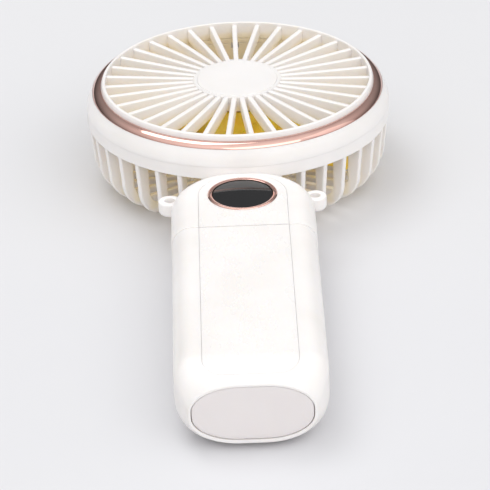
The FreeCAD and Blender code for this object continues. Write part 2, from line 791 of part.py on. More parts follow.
def neck_screws():
    screws = []
    for side in (-1, 1):
        x = side * neck_screw_x
        head = Part.makeCylinder(screw_head_radius, screw_head_height,
                                 Vector(x, neck_screw_head_y - screw_head_height, neck_screw_z), Y_AXIS)
        shank = Part.makeCylinder(screw_radius, neck_screw_length + seat_gap,
                                  Vector(x, neck_screw_head_y - seat_gap, neck_screw_z), Y_AXIS)
        screws.append(one_solid(head.fuse(shank)))
    return Part.Compound(screws)


def hinge_pin():
    return bar_x(pin_radius, -outer_knuckle_end, outer_knuckle_end)


# ---- power button ----
def button_bezel():
    sleeve_radius = bezel_radius - bezel_flange
    sleeve_low_z = body_thickness - bezel_sleeve_depth
    inner_top = point_rz(bezel_inner_radius, body_thickness + bezel_inner_proud)
    outer_top = point_rz(bezel_radius, body_thickness + seat_gap)
    ring = revolve(outline(
        point_rz(bezel_inner_radius, sleeve_low_z),
        inner_top,
        point_rz(blend(bezel_inner_radius, bezel_radius, bezel_crown), body_thickness + bezel_proud),
        point_rz(blend(bezel_inner_radius, bezel_radius, 1 - bezel_crown), body_thickness + bezel_proud),
        outer_top,
        point_rz(sleeve_radius, body_thickness + seat_gap),
        point_rz(sleeve_radius, sleeve_low_z),
    ))
    ring.translate(Vector(0, button_y, 0))
    return one_solid(ring)


plunger_top_z = board_top_z + seat_gap + switch_height + plunger_stand


def cap_rise(radius, height, at):
    """Height over its rim of a round cap at a distance from its middle."""
    ball = (radius * radius + height * height) / (2 * height)
    return math.sqrt(ball * ball - at * at) - (ball - height)


def power_button():
    edge_z = body_thickness + button_edge_proud
    radius = bezel_inner_radius - button_gap
    flange_top_z = body_thickness - bezel_sleeve_depth - button_lift
    flange_low_z = flange_top_z - button_flange_thickness
    button = revolve(outline(
        point_rz(0, plunger_top_z + seat_gap),
        point_rz(button_stem_radius, plunger_top_z + seat_gap),
        point_rz(button_stem_radius, flange_low_z),
        point_rz(button_flange_radius, flange_low_z),
        point_rz(button_flange_radius, flange_top_z),
        point_rz(radius, flange_top_z),
        point_rz(radius, edge_z),
        (point_rz(radius / 2, edge_z + cap_rise(radius, button_dome, radius / 2)),
         point_rz(0, edge_z + button_dome)),
    ))
    button.translate(Vector(0, button_y, 0))
    return one_solid(button)


def control_board():
    half_length = control_board_length / 2
    board = box(-control_board_half_width, control_board_half_width, button_y - half_length,
                button_y + half_length, board_top_z - board_thickness, board_top_z)
    upright = [edge for edge in board.Edges if edge.BoundBox.ZLength > board_thickness / 2]
    board = board.makeFillet(board_corner, upright)
    for x, y in board_post_places():
        board = board.cut(disc(screw_radius + fit_gap, 0, body_thickness, x, y))
    return one_solid(board)


def board_screws():
    return Part.Compound([screw_down(x, y, board_top_z + seat_gap, board_screw_length)
                          for x, y in board_post_places()])


def tact_switch():
    half = switch_size / 2
    low_z = board_top_z + seat_gap
    switch = box(-half, half, button_y - half, button_y + half, low_z, low_z + switch_height)
    well_z = plunger_top_z - plunger_height - plunger_well
    well = disc(plunger_radius + running_gap, well_z, low_z + switch_height + through_cut, 0, button_y)
    return one_solid(switch.cut(well))


def switch_plunger():
    return disc(plunger_radius, plunger_top_z - plunger_height, plunger_top_z, 0, button_y)


def indicator_leds():
    lamps = []
    for index in range(led_count):
        x = (index - (led_count - 1) / 2) * led_pitch
        y = button_y + led_offset_y
        lamps.append(box(x - led_width / 2, x + led_width / 2, y - led_depth / 2, y + led_depth / 2,
                         board_top_z + seat_gap, board_top_z + seat_gap + led_height))
    return Part.Compound(lamps)


# ---- handle ----
def quarter(start, corner, end):
    """A quarter of an ellipse, or of a circle, that rounds a corner."""
    centre = start.add(end).sub(corner)
    reach_start = start.distanceToPoint(centre)
    reach_end = end.distanceToPoint(centre)
    if abs(reach_start - reach_end) < 1e-6:
        middle = centre.add(corner.sub(centre).multiply(math.sqrt(0.5)))
        return Part.Arc(start, middle, end).toShape()
    long_end, short_end = (start, end) if reach_start > reach_end else (end, start)
    return Part.ArcOfEllipse(Part.Ellipse(long_end, short_end, centre), 0, math.pi / 2).toShape()


def handle_section(y, half_width, low_z, high_z, low_corner, high_corner):
    """A rounded cross-section in the plane at y. Each corner is its width and its height."""
    low_x = half_width - low_corner[0]
    high_x = half_width - high_corner[0]
    low_turn = low_z + low_corner[1]
    high_turn = high_z - high_corner[1]
    spots = [
        ((high_x, high_z), (half_width, high_z), (half_width, high_turn)),
        ((half_width, low_turn), (half_width, low_z), (low_x, low_z)),
        ((-low_x, low_z), (-half_width, low_z), (-half_width, low_turn)),
        ((-half_width, high_turn), (-half_width, high_z), (-high_x, high_z)),
    ]
    corners = [[Vector(x, y, z) for x, z in spot] for spot in spots]
    edges = []
    for index, (start, corner, end) in enumerate(corners):
        edges.append(quarter(start, corner, end))
        edges.append(Part.LineSegment(end, corners[(index + 1) % 4][0]).toShape())
    return Part.Wire(edges)


def body_section(y):
    return handle_section(y, body_half_width, 0.0, body_thickness,
                          (back_corner, back_corner), (front_corner, front_corner))


def plate_section(y, grow):
    corner = (plate_corner_x + grow, plate_corner_z + grow)
    low_z = plate_low_z - grow
    high_z = plate_high_z + grow
    return handle_section(y, plate_half_width + grow, low_z, high_z, corner, corner)


def handle_outer():
    """The handle's outside: a straight run, sides that lean in along an arc, and the rim round the plate."""
    turn_y = handle_end_y + end_rounding
    run = Part.Face(body_section(handle_start_y)).extrude(Vector(0, turn_y - handle_start_y, 0))
    rim = plate_rim + plate_gap
    rim_y = handle_end_y + mouth_edge
    last_angle = math.radians(end_turn)
    sections = []
    for index in range(end_section_count):
        angle = last_angle * index / (end_section_count - 1)
        share = (1 - math.cos(angle)) / (1 - math.cos(last_angle))
        corner_x = plate_corner_x + rim
        corner_z = plate_corner_z + rim
        sections.append(handle_section(
            blend(turn_y, rim_y, math.sin(angle) / math.sin(last_angle)),
            blend(body_half_width, plate_half_width + rim, share),
            blend(0.0, plate_low_z - rim, share),
            blend(body_thickness, plate_high_z + rim, share),
            (blend(back_corner, corner_x, share), blend(back_corner, corner_z, share)),
            (blend(front_corner, corner_x, share), blend(front_corner, corner_z, share)),
        ))
    leaning = Part.makeLoft(sections, True, False)
    mouth_sections = [plate_section(rim_y, rim), plate_section(handle_end_y, rim - mouth_edge)]
    mouth = Part.makeLoft(mouth_sections, True, True)
    return run.fuse([leaning, mouth]).removeSplitter()


def panel_plan_prism(grow, low_z):
    """The handle panel's plan, raised from low_z through the front face."""
    half = panel_half_width + grow
    end_y = handle_panel_end_y - grow
    radius = panel_end_corner + grow
    turn = radius * (1 - math.sqrt(0.5))
    start_y = handle_start_y + (through_cut if grow else 0)
    wire = outline(
        Vector(-half, start_y, low_z),
        Vector(-half, end_y + radius, low_z),
        (Vector(-half + turn, end_y + turn, low_z), Vector(-half + radius, end_y, low_z)),
        Vector(half - radius, end_y, low_z),
        (Vector(half - turn, end_y + turn, low_z), Vector(half, end_y + radius, low_z)),
        Vector(half, start_y, low_z),
    )
    return Part.Face(wire).extrude(Vector(0, 0, body_thickness))


def panel_prism(grow):
    """The handle panel raised through the front face, with a deeper foot at the end beyond the cell."""
    foot_y = handle_panel_end_y + panel_ledge + grow - line_gap
    foot = panel_plan_prism(grow, panel_floor_z - panel_foot_depth)
    foot = foot.common(box(-head_radius, head_radius, handle_end_y, foot_y, 0, body_thickness))
    return panel_plan_prism(grow, panel_floor_z).fuse(foot)


def handle_cavity():
    """Room for the charging board in the full section, and for the cell and its contact in the end."""
    turn_y = handle_end_y + end_rounding
    half = body_half_width - body_wall
    hollow = box(-half, half, turn_y, handle_start_y - body_wall, body_wall, cavity_top_z)
    lower = [edge for edge in hollow.Edges
             if edge.BoundBox.YLength > 1 and edge.BoundBox.ZMax < body_wall + seat_gap]
    hollow = hollow.makeChamfer(cavity_chamfer, lower)
    block_z = 2 * barrel_radius + barrel_clear + hinge_block
    hollow = hollow.cut(box(-head_radius, head_radius, block_end_y, seam_y, 0, block_z))
    bay_end_y = cell_end_y - seat_gap
    bay = Part.makeCylinder(cell_radius + cell_clear, turn_y + through_cut - bay_end_y,
                            Vector(0, bay_end_y, cell_z), Y_AXIS)
    pocket_half = contact_size / 2 + fit_gap
    pocket = box(-pocket_half, pocket_half, cavity_end_y, cell_end_y,
                 cell_z - pocket_half, cell_z + pocket_half)
    return hollow.fuse([bay, pocket])


def handle_shell():
    shell = handle_outer().cut(handle_cavity())
    shell = shell.cut(panel_prism(line_gap))
    window_half = panel_half_width - panel_ledge
    shell = shell.cut(box(-window_half, window_half, handle_panel_end_y + panel_ledge,
                          handle_start_y - 2 * body_wall, cavity_top_z - seat_gap, panel_floor_z + seat_gap))
    recess = Part.Face(plate_section(plate_inner_y, plate_gap))
    shell = shell.cut(recess.extrude(Vector(0, -plate_thickness - through_cut, 0)))
    shell = shell.cut(usb_outline(fit_gap, -through_cut, body_wall + usb_depth))
    # the fold hinge: room for the neck's knuckles, and the handle's own
    reach = centre_knuckle_half
    for low_x in (reach, -outer_knuckle_end - knuckle_gap):
        high_x = low_x + outer_knuckle_end + knuckle_gap - reach
        shell = shell.cut(bar_x(barrel_radius + barrel_clear, low_x, high_x))
    shell = shell.fuse(bar_x(barrel_radius, -reach, reach))
    bore_end = outer_knuckle_end + through_cut
    shell = shell.cut(bar_x(pin_radius + running_gap, -bore_end, bore_end))
    return one_solid(shell)


def handle_panel():
    return one_solid(handle_outer().common(panel_prism(0.0)))


def end_plate():
    """The plate with a broad shallow slope round its face."""
    bevel_y = handle_end_y + plate_bevel_depth
    body = Part.Face(plate_section(bevel_y, 0.0)).extrude(Vector(0, plate_inner_y - seat_gap - bevel_y, 0))
    slope_sections = [plate_section(bevel_y, 0.0), plate_section(handle_end_y, -plate_bevel_width)]
    slope = Part.makeLoft(slope_sections, True, True)
    return one_solid(body.fuse(slope))


def battery_cell():
    can = Part.makeCylinder(cell_radius, cell_length - cell_nub_height,
                            Vector(0, cell_end_y, cell_z), Y_AXIS)
    nub = Part.makeCylinder(cell_nub_radius, cell_length, Vector(0, cell_end_y, cell_z), Y_AXIS)
    return one_solid(can.fuse(nub))


def battery_contacts():
    half = contact_size / 2
    plates = []
    for low_y in (cell_front_y + seat_gap, cell_end_y - seat_gap - contact_thickness):
        plates.append(box(-half, half, low_y, low_y + contact_thickness, cell_z - half, cell_z + half))
    return Part.Compound(plates)


def charging_board():
    return box(-charge_board_half_width, charge_board_half_width, socket_y, board_y,
               body_wall + charge_board_rise, cavity_top_z - charge_board_headroom)


def usb_outline(grow, low_z, high_z):
    """The charging socket's rounded outline, raised along Z."""
    half_width = usb_width / 2 + grow
    middle_y = socket_y - seat_gap - usb_height / 2
    half_height = usb_height / 2 + grow
    shape = box(-half_width, half_width, middle_y - half_height, middle_y + half_height, low_z, high_z)
    upright = [edge for edge in shape.Edges if edge.BoundBox.ZLength > (high_z - low_z) / 2]
    return shape.makeFillet(usb_corner, upright)


def usb_socket():
    top_z = usb_sunk + usb_depth
    hollow = usb_outline(-usb_wall, usb_sunk - through_cut, top_z - usb_end_wall)
    middle_y = socket_y - seat_gap - usb_height / 2
    half_width = usb_width / 2 - usb_side_room
    contact = box(-half_width, half_width, middle_y - usb_tongue_half, middle_y + usb_tongue_half,
                  usb_sunk + usb_tongue_sunk, top_z - usb_end_wall / 2)
    return one_solid(usb_outline(0.0, usb_sunk, top_z).cut(hollow).fuse(contact))


parts = {
    "front_grille": front_grille,
    "grille_cap": grille_cap,
    "head_trim_ring": trim_ring,
    "front_shell": front_shell,
    "rear_cage": rear_cage,
    "motor_base": motor_base,
    "motor_screws": motor_screws,
    "shaft_bushes": shaft_bushes,
    "motor_board": motor_board,
    "stator_core": stator_core,
    "stator_windings": stator_windings,
    "motor_shaft": motor_shaft,
    "rotor_cup": rotor_cup,
    "magnet_ring": magnet_ring,
    "impeller": impeller,
    "neck_shell": neck_shell,
    "neck_panel": neck_panel,
    "neck_screws": neck_screws,
    "hinge_pin": hinge_pin,
    "button_bezel": button_bezel,
    "power_button": power_button,
    "control_board": control_board,
    "board_screws": board_screws,
    "tact_switch": tact_switch,
    "switch_plunger": switch_plunger,
    "indicator_leds": indicator_leds,
    "handle_shell": handle_shell,
    "handle_panel": handle_panel,
    "end_plate": end_plate,
    "battery_cell": battery_cell,
    "battery_contacts": battery_contacts,
    "charging_board": charging_board,
    "usb_socket": usb_socket,
}

os.makedirs("parts", exist_ok=True)
for name, make in parts.items():
    shape = make()
    shape.exportStep("parts/" + name + ".step")
    bounds = shape.BoundBox
    print(name, len(shape.Solids), round(shape.Volume, 1), shape.isValid(),
          [round(value, 2) for value in (bounds.XMin, bounds.XMax, bounds.YMin, bounds.YMax,
                                         bounds.ZMin, bounds.ZMax)])
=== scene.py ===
import bpy
import bmesh
import json
from math import atan2, cos, hypot, pi, radians, sin, sqrt
from mathutils import Matrix, Vector


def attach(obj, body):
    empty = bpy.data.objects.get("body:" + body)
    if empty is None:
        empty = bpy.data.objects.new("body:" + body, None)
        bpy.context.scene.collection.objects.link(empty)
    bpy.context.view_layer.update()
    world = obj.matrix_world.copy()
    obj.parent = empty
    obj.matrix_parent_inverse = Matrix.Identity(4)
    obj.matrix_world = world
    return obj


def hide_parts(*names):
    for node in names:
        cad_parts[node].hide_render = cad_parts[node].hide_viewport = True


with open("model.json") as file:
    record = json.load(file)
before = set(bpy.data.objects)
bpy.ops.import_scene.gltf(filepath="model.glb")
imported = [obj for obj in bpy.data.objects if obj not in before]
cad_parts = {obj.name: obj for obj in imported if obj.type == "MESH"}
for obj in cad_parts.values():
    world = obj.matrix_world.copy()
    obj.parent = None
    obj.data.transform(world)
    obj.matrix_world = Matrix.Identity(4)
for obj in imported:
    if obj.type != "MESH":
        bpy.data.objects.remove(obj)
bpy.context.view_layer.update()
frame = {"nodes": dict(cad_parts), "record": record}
print("frame loaded")

# The origin is on the fan's axis at its back, +Z out of the grille, handle along -Y.
# Pieces are modelled in millimetres and brought to metres when they are finished.
view = {"place": (-0.005629, -0.834731, 0.419928), "right": (0.999265, -0.023609, -0.030196),
        "up": (0.037749, 0.469513, 0.882118), "lens": 228.61, "sensor": 36.0, "near": 0.05, "far": 20}


def setCamera():
    data = bpy.data.cameras.new("camera")
    camera = bpy.data.objects.new("camera", data)
    bpy.context.scene.collection.objects.link(camera)
    right = Vector(view["right"]).normalized()
    back = right.cross(Vector(view["up"])).normalized()
    up = back.cross(right)
    facing = Matrix((right, up, back)).transposed().to_4x4()
    camera.matrix_world = Matrix.Translation(view["place"]) @ facing
    data.sensor_width = view["sensor"]
    data.lens = view["lens"]
    data.clip_start = view["near"]
    data.clip_end = view["far"]
    bpy.context.scene.camera = camera


setCamera()
print("camera set")


millimetre = 0.001  # in metres
close = 0.01        # how near two places count as one
weld = 0.001        # how near corners are merged
point = 0.0001      # how small a circle stands for a point on the axis
past = 1.0          # how far a cutting tool reaches past what it cuts
sharp = 35          # from how many degrees an edge stays sharp


# Small helpers round Blender's own tools.
def letGo():
    if bpy.context.mode != "OBJECT":
        bpy.ops.object.mode_set(mode="OBJECT")
    bpy.ops.object.select_all(action="DESELECT")


def hold(piece):
    letGo()
    piece.select_set(True)
    bpy.context.view_layer.objects.active = piece
    return piece


def edit(piece, kind="VERT"):
    hold(piece)
    bpy.ops.object.mode_set(mode="EDIT")
    bpy.ops.mesh.select_mode(type=kind)
    bpy.ops.mesh.select_all(action="SELECT")


# Selects the vertices, edges or faces that pass the test, in edit mode, and counts them.
def choose(piece, kind, test):
    bpy.ops.mesh.select_mode(type=kind)
    bpy.ops.mesh.select_all(action="DESELECT")
    mesh = bmesh.from_edit_mesh(piece.data)
    items = {"VERT": mesh.verts, "EDGE": mesh.edges, "FACE": mesh.faces}[kind]
    count = 0
    for item in items:
        if test(item):
            item.select_set(True)
            count += 1
    mesh.select_flush_mode()
    bmesh.update_edit_mesh(piece.data)
    return count


# Turns what is chosen by the right-hand rule.
def turn(angle, axis, centre):
    bpy.ops.transform.rotate(value=-angle, orient_axis=axis, center_override=centre)


# Draws what is chosen out by a move.
def drawOut(x, y, z):
    bpy.ops.mesh.extrude_region_move(TRANSFORM_OT_translate={"value": (x, y, z)})


def bevelEdges(width, segments):
    bpy.ops.mesh.bevel(offset=width, segments=segments, affect="EDGES")


def leaveEdit():
    bpy.ops.object.mode_set(mode="OBJECT")


# Writes where the selected pieces stand, how they are turned or their scale into their meshes.
def settle(location=False, rotation=False, scale=False):
    bpy.ops.object.transform_apply(location=location, rotation=rotation, scale=scale)


def outward(piece):
    edit(piece)
    bpy.ops.mesh.remove_doubles(threshold=weld)
    bpy.ops.mesh.normals_make_consistent(inside=False)
    leaveEdit()


# Rounds a piece's sharp edges with a bevel modifier.
def rounded(piece, width, segments=2, angle=40):
    hold(piece)
    bevel = piece.modifiers.new("rounding", "BEVEL")
    bevel.width = width
    bevel.segments = segments
    bevel.limit_method = "ANGLE"
    bevel.angle_limit = radians(angle)
    bevel.harden_normals = False
    bpy.ops.object.modifier_apply(modifier=bevel.name)


def carve(piece, tool, how="DIFFERENCE"):
    hold(piece)
    cut = piece.modifiers.new("cut", "BOOLEAN")
    cut.operation = how
    cut.solver = "EXACT"
    cut.object = tool
    bpy.ops.object.modifier_apply(modifier=cut.name)
    hold(tool)
    bpy.ops.object.delete()


def twin(piece, name):
    copy = piece.copy()
    copy.data = piece.data.copy()
    copy.name = name
    bpy.context.scene.collection.objects.link(copy)
    return copy


def joined(pieces):
    letGo()
    for piece in pieces:
        piece.select_set(True)
    bpy.context.view_layer.objects.active = pieces[0]
    if len(pieces) > 1:
        bpy.ops.object.join()
    return pieces[0]


# Copies of a piece turned about the fan's axis, joined into one.
def ringOf(piece, count, first=0.0):
    copies = [piece] + [twin(piece, piece.name + str(index)) for index in range(1, count)]
    for index, copy in enumerate(copies):
        copy.rotation_euler[2] = first + index * 2 * pi / count
    letGo()
    for copy in copies:
        copy.select_set(True)
    bpy.context.view_layer.objects.active = piece
    settle(rotation=True)
    return joined(copies)


# A turned piece: a circle drawn out from each profile point (radius, z) to the next.
def turned(name, profile, steps, place=(0, 0, 0)):
    letGo()
    profile = [(max(r, point), z) for r, z in profile]
    radius, z = profile[0]
    bpy.ops.mesh.primitive_circle_add(vertices=steps, radius=radius, location=(0, 0, z))
    piece = bpy.context.object
    piece.name = name
    settle(location=True)
    edit(piece)
    for nextRadius, nextZ in profile[1:] + profile[:1]:
        drawOut(0, 0, nextZ - z)
        ratio = nextRadius / radius
        bpy.ops.transform.resize(value=(ratio, ratio, 1), center_override=(0, 0, nextZ))
        radius, z = nextRadius, nextZ
    leaveEdit()
    outward(piece)
    if any(place):
        shift(piece, place)
    return piece


# Points on a round bow from start to end, without start, that swells by bulge away from the axis.
def arcPoints(start, end, bulge, steps):
    chord = Vector(end) - Vector(start)
    middle = (Vector(start) + Vector(end)) / 2
    out = Vector((-chord.y, chord.x)).normalized()
    if out.x < 0:
        out = -out
    half = chord.length / 2
    radius = (half * half + bulge * bulge) / (2 * bulge)
    centre = middle - out * (radius - bulge)
    first = atan2(start[1] - centre.y, start[0] - centre.x)
    last = atan2(end[1] - centre.y, end[0] - centre.x)
    if last - first > pi:
        last -= 2 * pi
    if first - last > pi:
        first -= 2 * pi
    points = []
    for index in range(1, steps + 1):
        angle = first + (last - first) * index / steps
        points.append((centre.x + radius * cos(angle), centre.y + radius * sin(angle)))
    return points


def blend(start, end, share):
    return start + (end - start) * share


# A plate lying flat: a plane with its corners rounded, drawn up from low to high. Each corner, at
# (+x+y, -x+y, -x-y, +x-y), is a radius, or a width and a height.
def roundPlate(name, halfX, halfY, corners, low, high, segments=10):
    letGo()
    bpy.ops.mesh.primitive_plane_add(size=2, location=(0, 0, low))
    piece = bpy.context.object
    piece.name = name
    settle(location=True)
    edit(piece)
    bpy.ops.transform.resize(value=(halfX, halfY, 1), center_override=(0, 0, low))
    signs = [(1, 1), (-1, 1), (-1, -1), (1, -1)]
    for (sx, sy), corner in zip(signs, corners):
        across, up = corner if isinstance(corner, tuple) else (corner, corner)
        if up > 0:
            choose(piece, "VERT", lambda v: abs(v.co.x - sx * halfX) < point
                   and abs(v.co.y - sy * halfY) < point)
            bpy.ops.mesh.bevel(offset=up, offset_type="OFFSET", segments=segments, affect="VERTICES",
                               clamp_overlap=False)
        if across != up:
            choose(piece, "VERT", lambda v: sx * v.co.x > halfX - up - weld
                   and sy * v.co.y > halfY - up - weld)
            bpy.ops.transform.resize(value=(across / up, 1, 1), center_override=(sx * halfX, 0, low))
    edit(piece, "FACE")
    if high > low:
        drawOut(0, 0, high - low)
    leaveEdit()
    outward(piece)
    return piece


# A round bar with its middle at place, along Z before it is turned.
def roundBar(radius, length, steps, place, facing=(0, 0, 0)):
    letGo()
    bpy.ops.mesh.primitive_cylinder_add(vertices=steps, radius=radius, depth=length, location=place,
                                        rotation=facing)
    return bpy.context.object


def block(lowX, highX, lowY, highY, lowZ, highZ):
    letGo()
    middle = ((lowX + highX) / 2, (lowY + highY) / 2, (lowZ + highZ) / 2)
    bpy.ops.mesh.primitive_cube_add(size=1, location=middle)
    made = bpy.context.object
    made.scale = (highX - lowX, highY - lowY, highZ - lowZ)
    settle(location=True, scale=True)
    return made


def shift(piece, move):
    hold(piece)
    piece.location = move
    settle(location=True)


# Brings a piece to metres, smooths it so that its flat faces stay flat, gives it its finish, attaches it to
# its body and hides the imported parts it stands for.
def finished(piece, name, body, slot, nodes):
    hold(piece)
    piece.name = name
    piece.data.name = name
    piece.scale = (millimetre,) * 3
    settle(location=True, rotation=True, scale=True)
    bpy.ops.object.shade_smooth_by_angle(angle=radians(sharp))
    even = piece.modifiers.new("even", "WEIGHTED_NORMAL")
    even.keep_sharp = True
    bpy.ops.object.modifier_apply(modifier=even.name)
    piece.data.materials.clear()
    piece.data.materials.append(finishes[slot])
    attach(piece, body)
    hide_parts(*nodes)
    return piece


# A socket in a shader, which takes plain arithmetic.
class Wire:
    def __init__(self, paint, socket):
        self.paint = paint
        self.socket = socket

    def sum(self, operation, *others):
        return self.paint.node("ShaderNodeMath", {"operation": operation}, [self, *others])

    def __add__(self, other):
        return self.sum("ADD", other)

    def __mul__(self, other):
        return self.sum("MULTIPLY", other)

    def __rmul__(self, other):
        return self.sum("MULTIPLY", other)

    def __pow__(self, other):
        return self.sum("POWER", other)

    def ramp(self, low, high, start=0.0, end=1.0):
        ends = {"Value": self, "From Min": low, "From Max": high, "To Min": start, "To Max": end}
        return self.paint.node("ShaderNodeMapRange", {"interpolation_type": "SMOOTHSTEP"}, ends)


# A material or a world, and the one method that puts nodes in it.
class Paint:
    def __init__(self, owner):
        self.owner = owner
        owner.use_nodes = True
        self.tree = owner.node_tree
        self.tree.nodes.clear()

    def node(self, kind, settings=None, sockets=None, output=0):
        made = self.tree.nodes.new(kind)
        for key, value in (settings or {}).items():
            setattr(made, key, value)
        pairs = sockets.items() if isinstance(sockets, dict) else enumerate(sockets or [])
        for key, value in pairs:
            if isinstance(value, Wire):
                self.tree.links.new(value.socket, made.inputs[key])
            else:
                made.inputs[key].default_value = value
        return Wire(self, made.outputs[output])

    def place(self):
        return self.node("ShaderNodeTexCoord", output="Object")

    def split(self, vector):
        parts = self.node("ShaderNodeSeparateXYZ", None, [vector]).socket.node
        return [Wire(self, socket) for socket in parts.outputs]

    def noise(self, scale, detail=3.0, rough=0.5, stretch=(1, 1, 1)):
        at = self.node("ShaderNodeMapping", None, {"Vector": self.place(), "Scale": stretch})
        return self.node("ShaderNodeTexNoise", None,
                         {"Vector": at, "Scale": scale, "Detail": detail, "Roughness": rough})

    # The Mix node's factor and colours are its inputs 0, 6 and 7, and its colour is output 2.
    def mix(self, share, first, second):
        return self.node("ShaderNodeMix", {"data_type": "RGBA"}, {0: share, 6: first, 7: second}, 2)

    def bump(self, height, distance):
        return self.node("ShaderNodeBump", None, {"Height": height, "Distance": distance})

    def surface(self, **sockets):
        named = {key.replace("_", " "): value for key, value in sockets.items()}
        shader = self.node("ShaderNodeBsdfPrincipled", None, named)
        out = self.tree.nodes.new("ShaderNodeOutputMaterial")
        self.tree.links.new(shader.socket, out.inputs["Surface"])
        return self.owner


def newPaint(name):
    return Paint(bpy.data.materials.new(name))


# A colour as it reads on a screen, 0 to 255, for a shader.
def tone(red, green, blue):
    channels = []
    for value in (red, green, blue):
        share = value / 255
        channels.append(share / 12.92 if share <= 0.04045 else ((share + 0.055) / 1.055) ** 2.4)
    return (*channels, 1.0)


# Where a noise starts and ends its turn from one tone to the other.
spread = (0.3, 0.7)
# The cream and tan tones are painted shade and painted yellow bounce light for the head's recesses.
plastic = {"white": tone(249, 245, 243), "shade": tone(245, 241, 238), "cream": tone(255, 250, 246),
           "tan": tone(255, 245, 224), "tanSpan": (0.55, 1.1), "mottle": 60.0, "grain": 2600.0,
           "grainDepth": 0.000005, "handling": 240.0, "stretch": (1, 0.35, 1), "handled": (0.35, 0.75),
           "rough": 0.34, "smoother": 0.05, "rougher": 0.09, "index": 1.5, "glow": 0.15, "glowReach": 0.002,
           "glowTint": (1.0, 0.82, 0.62)}


# Moulded white plastic with a fine spark grain. depth is how far painted shade and painted yellow bounce
# light turn it cream, then tan, deep in the head, 0 to 1.
def whitePlastic(name, depth=None, rough=plastic["rough"], white=plastic["white"], shade=plastic["shade"]):
    p = plastic
    paint = newPaint(name)
    colour = paint.mix(paint.noise(p["mottle"], detail=4).ramp(*spread), white, shade)
    # Painted shade and yellow bounce light: the deeper a spot lies in the head, the more cream, then tan, it
    # is painted.
    if depth:
        cream = depth(paint)
        colour = paint.mix(cream, colour, p["cream"])
        colour = paint.mix(cream.ramp(*p["tanSpan"]), colour, p["tan"])
    grain = paint.noise(p["grain"], detail=2)
    handling = paint.noise(p["handling"], detail=5, rough=0.6, stretch=p["stretch"])
    handled = handling.ramp(*p["handled"], rough - p["smoother"], rough + p["rougher"])
    return paint.surface(Base_Color=colour, Roughness=handled, Normal=paint.bump(grain, p["grainDepth"]),
                         IOR=p["index"], Subsurface_Weight=p["glow"], Subsurface_Scale=p["glowReach"],
                         Subsurface_Radius=p["glowTint"])


# Where painted shade and yellow bounce light turn the white plastic cream, then tan: radii, and heights over
# the back, in metres.
shadeDepths = {"ledge": (0.0402, 0.0396), "grille": (0.0316, 0.0270), "cageSide": (0.0446, 0.0385),
          "cageBack": (0.0005, 0.005)}


# How deep a spot lies inside the head, behind the ledge that carries the grille, which sets how much painted
# shade it gets.
def ledgeShadeDepth(paint):
    x, y = paint.split(paint.place())[:2]
    return ((x * x + y * y) ** 0.5).ramp(*shadeDepths["ledge"])


# How deep a spot lies in the grille, under its face, which sets how much painted shade it gets.
def grilleShadeDepth(paint):
    z = paint.split(paint.place())[2]
    return z.ramp(*shadeDepths["grille"])


# How deep a spot lies in the cage, in from its side and up from its back, which sets how much painted shade
# it gets.
def cageShadeDepth(paint):
    x, y, z = paint.split(paint.place())
    reach = (x * x + y * y) ** 0.5
    return reach.ramp(*shadeDepths["cageSide"]) * z.ramp(*shadeDepths["cageBack"])


plating = {"light": tone(229, 189, 178), "deep": tone(220, 177, 166), "mottle": 90.0, "polish": 900.0,
           "rough": (0.05, 0.09)}


def roseGold(name):
    p = plating
    paint = newPaint(name)
    polish = paint.noise(p["polish"])
    colour = paint.mix(paint.noise(p["mottle"], detail=4).ramp(*spread), p["light"], p["deep"])
    return paint.surface(Base_Color=colour, Metallic=1.0, Roughness=polish.ramp(*spread, *p["rough"]))


glass = {"deep": tone(13, 13, 16), "light": tone(18, 18, 21), "mottle": 50.0, "film": 160.0,
         "filmSpan": (0.3, 0.8), "rough": (0.03, 0.07), "index": 1.46}


def blackLens(name):
    g = glass
    paint = newPaint(name)
    film = paint.noise(g["film"], detail=4, rough=0.55)
    colour = paint.mix(paint.noise(g["mottle"]).ramp(*spread), g["deep"], g["light"])
    return paint.surface(Base_Color=colour, Roughness=film.ramp(*g["filmSpan"], *g["rough"]), IOR=g["index"])


yellow = {"light": tone(255, 222, 88), "deep": tone(253, 213, 70), "mottle": 70.0, "grain": 1800.0,
          "grainDepth": 0.000008, "rough": (0.34, 0.42), "glow": 0.3, "glowReach": 0.003}


def bladeYellow(name):
    g = yellow
    paint = newPaint(name)
    grain = paint.noise(g["grain"], detail=2)
    colour = paint.mix(paint.noise(g["mottle"], detail=4).ramp(*spread), g["light"], g["deep"])
    return paint.surface(Base_Color=colour, Roughness=grain.ramp(*spread, *g["rough"]),
                         Subsurface_Weight=g["glow"], Subsurface_Scale=g["glowReach"],
                         Normal=paint.bump(grain, g["grainDepth"]))


# How far one cloud of noise moves the roughness down and up, and how deep it dents the surface.
metals = {"smoother": 0.06, "rougher": 0.08, "depth": 0.000008}
paints = {"smoother": 0.05, "rougher": 0.08, "depth": 0.00001}


def metal(name, first, second, rough=0.3, scale=400.0, stretch=(1, 1, 1)):
    m = metals
    paint = newPaint(name)
    cloud = paint.noise(scale, detail=4, rough=0.6, stretch=stretch)
    colour = paint.mix(cloud.ramp(*spread), first, second)
    uneven = cloud.ramp(*spread, rough - m["smoother"], rough + m["rougher"])
    return paint.surface(Base_Color=colour, Metallic=1.0, Roughness=uneven,
                         Normal=paint.bump(cloud, m["depth"]))


def paintedPlastic(name, first, second, rough=0.4, scale=500.0):
    m = paints
    paint = newPaint(name)
    cloud = paint.noise(scale, detail=4)
    colour = paint.mix(cloud.ramp(*spread), first, second)
    uneven = cloud.ramp(*spread, rough - m["smoother"], rough + m["rougher"])
    return paint.surface(Base_Color=colour, Roughness=uneven, Normal=paint.bump(cloud, m["depth"]))


